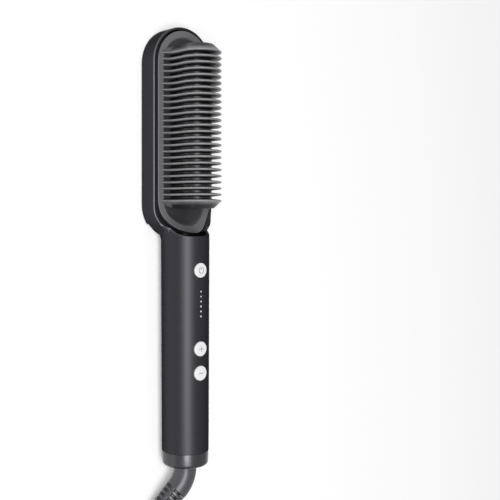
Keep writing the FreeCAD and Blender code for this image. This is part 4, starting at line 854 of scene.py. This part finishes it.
# %% The cap
rear_round = np.radians(np.linspace(0.0, 90.0, 9))
cap_profile = np.concatenate(
    [
        [(-126.6, 13.45), (-134.6, 13.45), (-134.6, 15.25), (-134.75, 15.38), (-138.0, 15.3)],
        np.column_stack([-141.8 - 2.2 * np.sin(rear_round), 12.9 + 2.2 * np.cos(rear_round)]),
        [(-144.0, 8.1), (-143.8, 7.8), (-143.5, 7.7), (-141.5, 7.7), (-141.5, 11.9), (-126.6, 11.9)],
    ]
)
cap_mesh = build_grids("chrome_cap", [turned(cap_profile, (0.0, AXIS_Z), "y")], True, True, crease=40)
dark_chrome = make_finish(
    "dark_chrome", (84, 83, 86), 0.3, metallic=1.0, grain=900, bump=0.000002, vary=0.05, rough_vary=0.04
)
add_piece("chrome_cap", cap_mesh, dark_chrome, "housing", "dark_chrome", "end_cap")

# %% [markdown]
# ## The buttons
# Three round keys of white glossy plastic, slightly domed, each with a soft edge and a grey sign
# printed on it: an open ring with a bar for power, a cross for more heat and a bar for less.

# %% Keys
# Side view as (z, radius): a flange, the wall, an edge rounded by 0.7 mm and a crown 0.1 mm high.
key_edge = np.radians(np.linspace(0.0, 90.0, 8))
crown_radius = np.linspace(4.05, 0.0, 7)
key_profile = np.concatenate(
    [
        [(27.25, 0.0), (27.25, 5.6), (27.95, 5.6), (27.95, 4.85)],
        np.column_stack([31.45 + 0.7 * np.sin(key_edge), 4.15 + 0.7 * np.cos(key_edge)]),
        np.column_stack([32.15 + 0.1 * (1.0 - (crown_radius / 4.15) ** 2), crown_radius]),
    ]
)
white_gloss = make_finish(
    "white_gloss", (242, 242, 243), 0.22, grain=900, bump=0.0, vary=0.015, specular=0.5, coat=0.3,
    rough_vary=0.04,
)
for key, y in button_places.items():
    key_points = turned(key_profile, (0.0, y), "z", sides=72)
    key_mesh = build_grids(f"{key}_key_cap", [key_points], True, crease=40)
    add_piece(f"{key}_key_cap", key_mesh, white_gloss, f"{key}_key", "white_button", f"{key}_button")

# %% [markdown]
# A print has almost no height, but two faces at one height would flicker through each other. So each
# stroke is a thin ribbon that starts in the key and ends just above its crown, and a crossing stroke
# ends a little higher than the first.


# %% Signs on the keys
def flat_ribbon(centre_line, half, low, high):
    """A printed line: (x, y) points widened by half to each side, from z = low to high."""
    heading = np.gradient(centre_line, axis=0)
    heading /= np.linalg.norm(heading, axis=1)[:, None]
    aside = np.column_stack([-heading[:, 1], heading[:, 0]]) * half
    left, right = centre_line + aside, centre_line - aside
    corners = ((left, low), (left, high), (right, high), (right, low))
    return np.stack([np.column_stack([plan, np.full(len(plan), z)]) for plan, z in corners], axis=1)


def ribbon_mesh(name, ribbons):
    """Several ribbons as one mesh, each closed at its two ends by a last face."""
    points, faces, used = [], [], 0
    for ribbon in ribbons:
        count = ribbon.shape[0]
        first_end, last_end = np.arange(4), np.arange(4 * count - 4, 4 * count)
        points.append(ribbon.reshape(-1, 3))
        faces.append(grid_faces(count, 4, False, True, first=used))
        faces.append(used + np.array([first_end, last_end]))
        used += 4 * count
    return build_mesh(name, np.concatenate(points), np.concatenate(faces), weld=0.0005)


def bar(x0, y0, x1, y1, steps=8):
    """A straight stroke from (x0, y0) to (x1, y1)."""
    return np.column_stack([np.linspace(x0, x1, steps), np.linspace(y0, y1, steps)])


open_ring = np.radians(np.linspace(115.0, 425.0, 60))
signs = {
    "power": [1.9 * np.column_stack([np.cos(open_ring), np.sin(open_ring)]), bar(0, 0.5, 0, 2.3)],
    "plus": [bar(-1.8, 0, 1.8, 0), bar(0, -1.8, 0, 1.8)],
    "minus": [bar(-1.8, 0, 1.8, 0)],
}
half_stroke, sign_low, sign_high = 0.28, 32.1, 32.27
print_grey = make_finish("print_grey", (168, 169, 172), 0.4, grain=3000, bump=0.0, vary=0.03)
for key, strokes in signs.items():
    ribbons = [
        flat_ribbon(stroke + (0.0, button_places[key]), half_stroke, sign_low, sign_high + 0.01 * i)
        for i, stroke in enumerate(strokes)
    ]
    add_piece(f"{key}_sign", ribbon_mesh(f"{key}_sign", ribbons), print_grey, f"{key}_key", "white_button")

# %% [markdown]
# ## The row of lights
# Six small lights under domed tips tell the heat setting. The tips sit in their holes a little below
# the handle's face. Five shine white, and the top one is dim and bluish.

# %% Light tips
tip_profile = [(30.4, 0.0), (30.4, 0.46), (31.55, 0.46), (31.72, 0.4), (31.82, 0.24), (31.85, 0.0)]
for title, colour, glow, chosen in (
    ("dim_tip", (58, 98, 116), 0.1, light_places[:1]),
    ("white_tips", (250, 250, 250), 0.9, light_places[1:]),
):
    tips = [turned(tip_profile, (0.0, y), "z", sides=20) for y in chosen]
    tip_mesh = build_grids(title, tips, close_rows=True)
    shine = make_finish(title + "_light", colour, 0.3, grain=2000, bump=0.0, vary=0.02)
    glow_socket = shine.node_tree.nodes["Principled BSDF"].inputs
    glow_socket["Emission Color"].default_value = (*to_linear(colour), 1.0)
    glow_socket["Emission Strength"].default_value = glow
    add_piece(title, tip_mesh, shine, "housing", "led_white")

# %% [markdown]
# ## The strain relief
# Where the cord leaves the cap, a rubber elbow turns it aside and a ribbed boot keeps it from kinking.
# The boot is a tapering tube with four rows of slots, and between the rows a web of rubber holds the ribs
# together. Its radius is a function of the way along it and of the angle round it, and a mark paints shade
# into the depth of the slots.

# %% The boot's surface
COLLAR_ROWS, ELBOW_ROWS, BOOT_SIDES = 6, 26, 96
BOOT_RADIUS, SLOT_PITCH, FIRST_SLOT, LAST_SLOT_END = 7.5, 3.5, 1.6, 32.0


def boot_grid():
    """Points of the boot, and how deep each one is sunk, from 0 to 1; that depth also sets the painted
    shade in the slots.

    Stations stand along a straight collar, an arc and the ribbed part. Round each one the radius is
    7.5 less a taper, and less a third of itself in the depth of a slot.
    """
    normal = np.cross(boot_aside, -rearward)
    collar_y = np.linspace(-142.5, -145.6, COLLAR_ROWS)
    collar = np.column_stack([np.zeros(COLLAR_ROWS), collar_y, np.full(COLLAR_ROWS, AXIS_Z)])
    bend = np.linspace(0.0, elbow_turn, ELBOW_ROWS)
    arc = (
        elbow_centre
        - elbow_radius * np.cos(bend)[:, None] * boot_aside
        + elbow_radius * np.sin(bend)[:, None] * rearward
    )
    along = np.linspace(0.0, boot_length, 187)[1:]
    centre = np.concatenate([collar, arc, elbow_end + along[:, None] * boot_heading])
    tangent = np.concatenate(
        [
            np.repeat(rearward[None], COLLAR_ROWS, axis=0),
            np.sin(bend)[:, None] * boot_aside + np.cos(bend)[:, None] * rearward,
            np.repeat(boot_heading[None], len(along), axis=0),
        ]
    )
    aside = np.cross(normal, tangent)
    aside /= np.linalg.norm(aside, axis=1)[:, None]
    place = np.concatenate([np.full(COLLAR_ROWS + ELBOW_ROWS, -1.0), along])
    outer = BOOT_RADIUS - 3.35 * eased(place, -2.0, 46.0) ** 0.8
    beat = np.cos(2.0 * math.pi * (place - FIRST_SLOT) / SLOT_PITCH)
    in_ribs = eased(place, 0.1, 0.5) * (1.0 - eased(place, LAST_SLOT_END - 0.4, LAST_SLOT_END))
    angle = np.linspace(0.0, 2.0 * math.pi, BOOT_SIDES, endpoint=False)
    slot_round = 1.0 - eased(np.abs(np.sin(2.0 * angle)), 0.84, 0.95)
    sunk = (eased(beat, -0.1, 0.45) * in_ribs)[:, None] * slot_round[None, :]
    radius = outer[:, None] * (1.0 - 0.33 * sunk)
    across = aside[:, None, :] * np.cos(angle)[None, :, None]
    up = normal[None, None, :] * np.sin(angle)[None, :, None]
    body = centre[:, None, :] + radius[:, :, None] * (across + up)
    start, end = (np.repeat(at[:, None, :], BOOT_SIDES, axis=1) for at in (centre[:1], centre[-1:]))
    level = np.zeros((1, BOOT_SIDES))
    return np.concatenate([start, body, end]), np.concatenate([level, sunk, level])


boot_points, painted_slot_shade = boot_grid()
boot_mesh = build_grids(
    "cord_boot", [boot_points], False, True, crease=55, mark="painted_slot_shade", amounts=painted_slot_shade
)
add_piece("cord_boot", boot_mesh, boot_rubber, "cord", "cord_rubber", "strain_relief")

# %% [markdown]
# ## The plug
# A flat two-pin plug: its width and thickness grow from the neck, and its corners are round. Each
# section is a superellipse, and shallow grooves near the neck give the fingers a grip.

# %% The plug's body
PLUG_LENGTH, PLUG_SIDES = 34.0, 72


def plug_grid():
    """Sections |x/w|^n + |z/h|^n = 1 along y, with w and h eased from the neck to the face."""
    along = np.concatenate([np.linspace(0.0, 8.0, 10), np.linspace(8.3, 33.3, 44), [33.7, PLUG_LENGTH]])
    neck_ends, swell = eased(along, 7.0, 9.0), eased(along, 7.5, 20.5)
    groove = 0.35 * eased(np.cos(2 * math.pi * (along - 9.5) / 2.6), 0.2, 0.8) * eased(along, 8.9, 9.5)
    groove *= 1.0 - eased(along, 19.0, 20.0)
    shrink = np.where(along > 33.5, (along - 33.5) * 1.4, 0.0)
    wide = (4.3 + 2.2 * neck_ends + 8.4 * swell - groove - shrink)[:, None]
    tall = (4.3 + 0.3 * neck_ends + 2.2 * swell - groove - shrink)[:, None]
    power = (2.0 + 2.6 * eased(along, 7.0, 16.5))[:, None]
    x, y, z = np.array(tail_route[-1]) * PER_METRE
    angle = np.linspace(0.0, 2.0 * math.pi, PLUG_SIDES, endpoint=False)[None, :]
    c, s = np.cos(angle), np.sin(angle)
    reach = (np.abs(c / wide) ** power + np.abs(s / tall) ** power) ** (-1.0 / power)
    run = np.repeat(y + along[:, None], PLUG_SIDES, axis=1)
    body = np.stack([x + reach * c, run, z + reach * s], axis=2)
    start, end = (np.repeat([[[x, y + at, z]]], PLUG_SIDES, axis=1) for at in (0.0, PLUG_LENGTH))
    return np.concatenate([start, body, end])


plug_mesh = build_grids("plug_shell", [plug_grid()], False, True, crease=50)
plug_shell = add_piece("plug_shell", plug_mesh, cable_jacket, "cord", "cord_rubber", "plug_body")

# %% [markdown]
# ## Finishes of the pieces inside
# The parts under the skin keep their measured solids. Each one gets the finish of its real material:
# steel screws, brass rings, a green laminate, ceramic heaters, black chips. One table holds each
# finish and the pieces that wear it.

# %% Inside finishes
inside_table = [
    (make_finish("screw_steel", (176, 176, 180), 0.32, metallic=1.0, grain=1800, bump=0.000004),
     ["clamp_plate", "clamp_screws", "guard_screws", "board_screws", "retainer_screws", "heat_shield",
      "thermal_fuse"]),
    (make_finish("contact_brass", (196, 160, 88), 0.3, metallic=1.0, grain=1600, bump=0.000003),
     ["slip_rings", "contact_springs", "heater_jumpers"]),
    (make_finish("pin_nickel", (205, 203, 198), 0.22, metallic=1.0, grain=1400, bump=0.000002),
     ["plug_pins"]),
    (make_finish("board_laminate", (24, 84, 52), 0.4, grain=2200, bump=0.00001, vary=0.14),
     ["circuit_board"]),
    (make_finish("heater_ceramic", (226, 222, 212), 0.6, grain=1500, bump=0.00001),
     ["heater_element_front", "heater_element_rear", "line_fuse"]),
    (make_finish("mica_sheet", (196, 176, 140), 0.42, grain=500, bump=0.00001, vary=0.2),
     ["insulator_sheet"]),
    (make_finish("component_black", (26, 26, 28), 0.45, grain=1800, bump=0.000008),
     ["power_switch", "plus_switch", "minus_switch", "controller_chip", "power_triac", "contact_block"]),
    (make_finish("component_blue", (36, 78, 150), 0.4, grain=1500, bump=0.000008),
     ["varistor", "filter_capacitor"]),
    (make_finish("component_white", (226, 226, 222), 0.45, grain=1500, bump=0.000006),
     ["heater_connector", "mains_connector", "power_plunger", "plus_plunger", "minus_plunger",
      "indicator_leds"]),
    (make_finish("swivel_moulding", (52, 52, 55), 0.42, grain=1500, bump=0.000008),
     ["swivel_stem", "swivel_retainer"]),
    (make_finish("wire_insulation", (58, 34, 34), 0.5, grain=1300, bump=0.00001),
     ["heater_leads", "sensor_leads", "mains_leads", "thermistor"]),
    (make_finish("guide_clear", (224, 230, 232), 0.12, grain=700, bump=0.0, vary=0.02), ["light_guide"]),
    (cable_jacket, ["cord_tie"]),
]
inside = {name: finish for finish, names in inside_table for name in names}
for name, finish in inside.items():
    dress(frame["nodes"][name].data, finish)
left = sorted(name for name, node in frame["nodes"].items() if name not in inside and not node.hide_render)
print("finished inside:", len(inside), "left:", left)

# %% [markdown]
# ## Floor and light
# The brush lies on a pale floor. One soft lamp hangs well above it on the camera's side, so that the
# round handle shows one shine down its middle, and a dim even sky fills the shadows. More light would
# wash out the dark plastic. So the camera, mirrors and glass see a brighter sky than the one that lights
# the brush, and for them the floor glows a little, which leaves the background white and the shadow in
# place.


# %% Floor
def strength_for(nodes, links, on_the_brush, to_the_eye):
    """A strength socket with one value for light on the brush and one for what is seen directly."""
    rays = nodes.new("ShaderNodeLightPath")
    seen = rays.outputs["Is Camera Ray"]
    for other in ("Is Glossy Ray", "Is Transmission Ray"):
        larger = nodes.new("ShaderNodeMath")
        larger.operation = "MAXIMUM"
        links.new(seen, larger.inputs[0])
        links.new(rays.outputs[other], larger.inputs[1])
        seen = larger.outputs[0]
    choice = nodes.new("ShaderNodeMapRange")
    choice.inputs["To Min"].default_value = on_the_brush
    choice.inputs["To Max"].default_value = to_the_eye
    links.new(seen, choice.inputs["Value"])
    return choice.outputs["Result"]


floor_mesh = bpy.data.meshes.new("floor")
floor_mesh.from_pydata([(-4, -4, 0), (4, -4, 0), (4, 4, 0), (-4, 4, 0)], [], [(0, 1, 2, 3)])
floor = put_in_scene("floor", floor_mesh)
floor.location = (0.0, 0.0, -0.0002)
floor_paint = bpy.data.materials.new("floor_paint")
floor_paint.use_nodes = True
floor_nodes, floor_links = floor_paint.node_tree.nodes, floor_paint.node_tree.links
floor_nodes.clear()
matt = floor_nodes.new("ShaderNodeBsdfDiffuse")
matt.inputs["Color"].default_value = (0.86, 0.86, 0.86, 1.0)
lift = floor_nodes.new("ShaderNodeEmission")
lift.inputs["Color"].default_value = (1.0, 1.0, 1.0, 1.0)
both = floor_nodes.new("ShaderNodeAddShader")
floor_out = floor_nodes.new("ShaderNodeOutputMaterial")
floor_links.new(strength_for(floor_nodes, floor_links, 0.0, 0.24), lift.inputs["Strength"])
floor_links.new(matt.outputs[0], both.inputs[0])
floor_links.new(lift.outputs[0], both.inputs[1])
floor_links.new(both.outputs[0], floor_out.inputs["Surface"])
floor_mesh.materials.append(floor_paint)
print("floor ready")

# %% Sky
sky = bpy.data.worlds.new("sky")
bpy.context.scene.world = sky
sky.use_nodes = True
sky_nodes, sky_links = sky.node_tree.nodes, sky.node_tree.links
background = sky_nodes["Background"]
background.inputs["Color"].default_value = (1.0, 1.0, 1.0, 1.0)
sky_links.new(strength_for(sky_nodes, sky_links, 0.24, 0.6), background.inputs["Strength"])
print("sky ready")

# %% Lamp
# An area light shines along its own -Z, so turning it about Y leans it from its place to the handle.
lamp_place, lamp_target = (-1.12, -0.14, 1.94), (0.0, -0.14, 0.016)
lamp_data = bpy.data.lights.new("strip_light", "AREA")
lamp_data.shape = "RECTANGLE"
lamp_data.size, lamp_data.size_y, lamp_data.energy = 0.92, 1.8, 46.0
lamp = put_in_scene("strip_light", lamp_data)
lamp.location = lamp_place
lean = math.atan2(lamp_place[0] - lamp_target[0], lamp_place[2] - lamp_target[2])
lamp.rotation_euler = (0.0, lean, 0.0)
print("lamp leans", round(math.degrees(lean), 1), "degrees")

# %% [markdown]
# ## Finish
# The picture uses the plain display transform.

# %% The display transform
bpy.context.scene.view_settings.view_transform = "Standard"
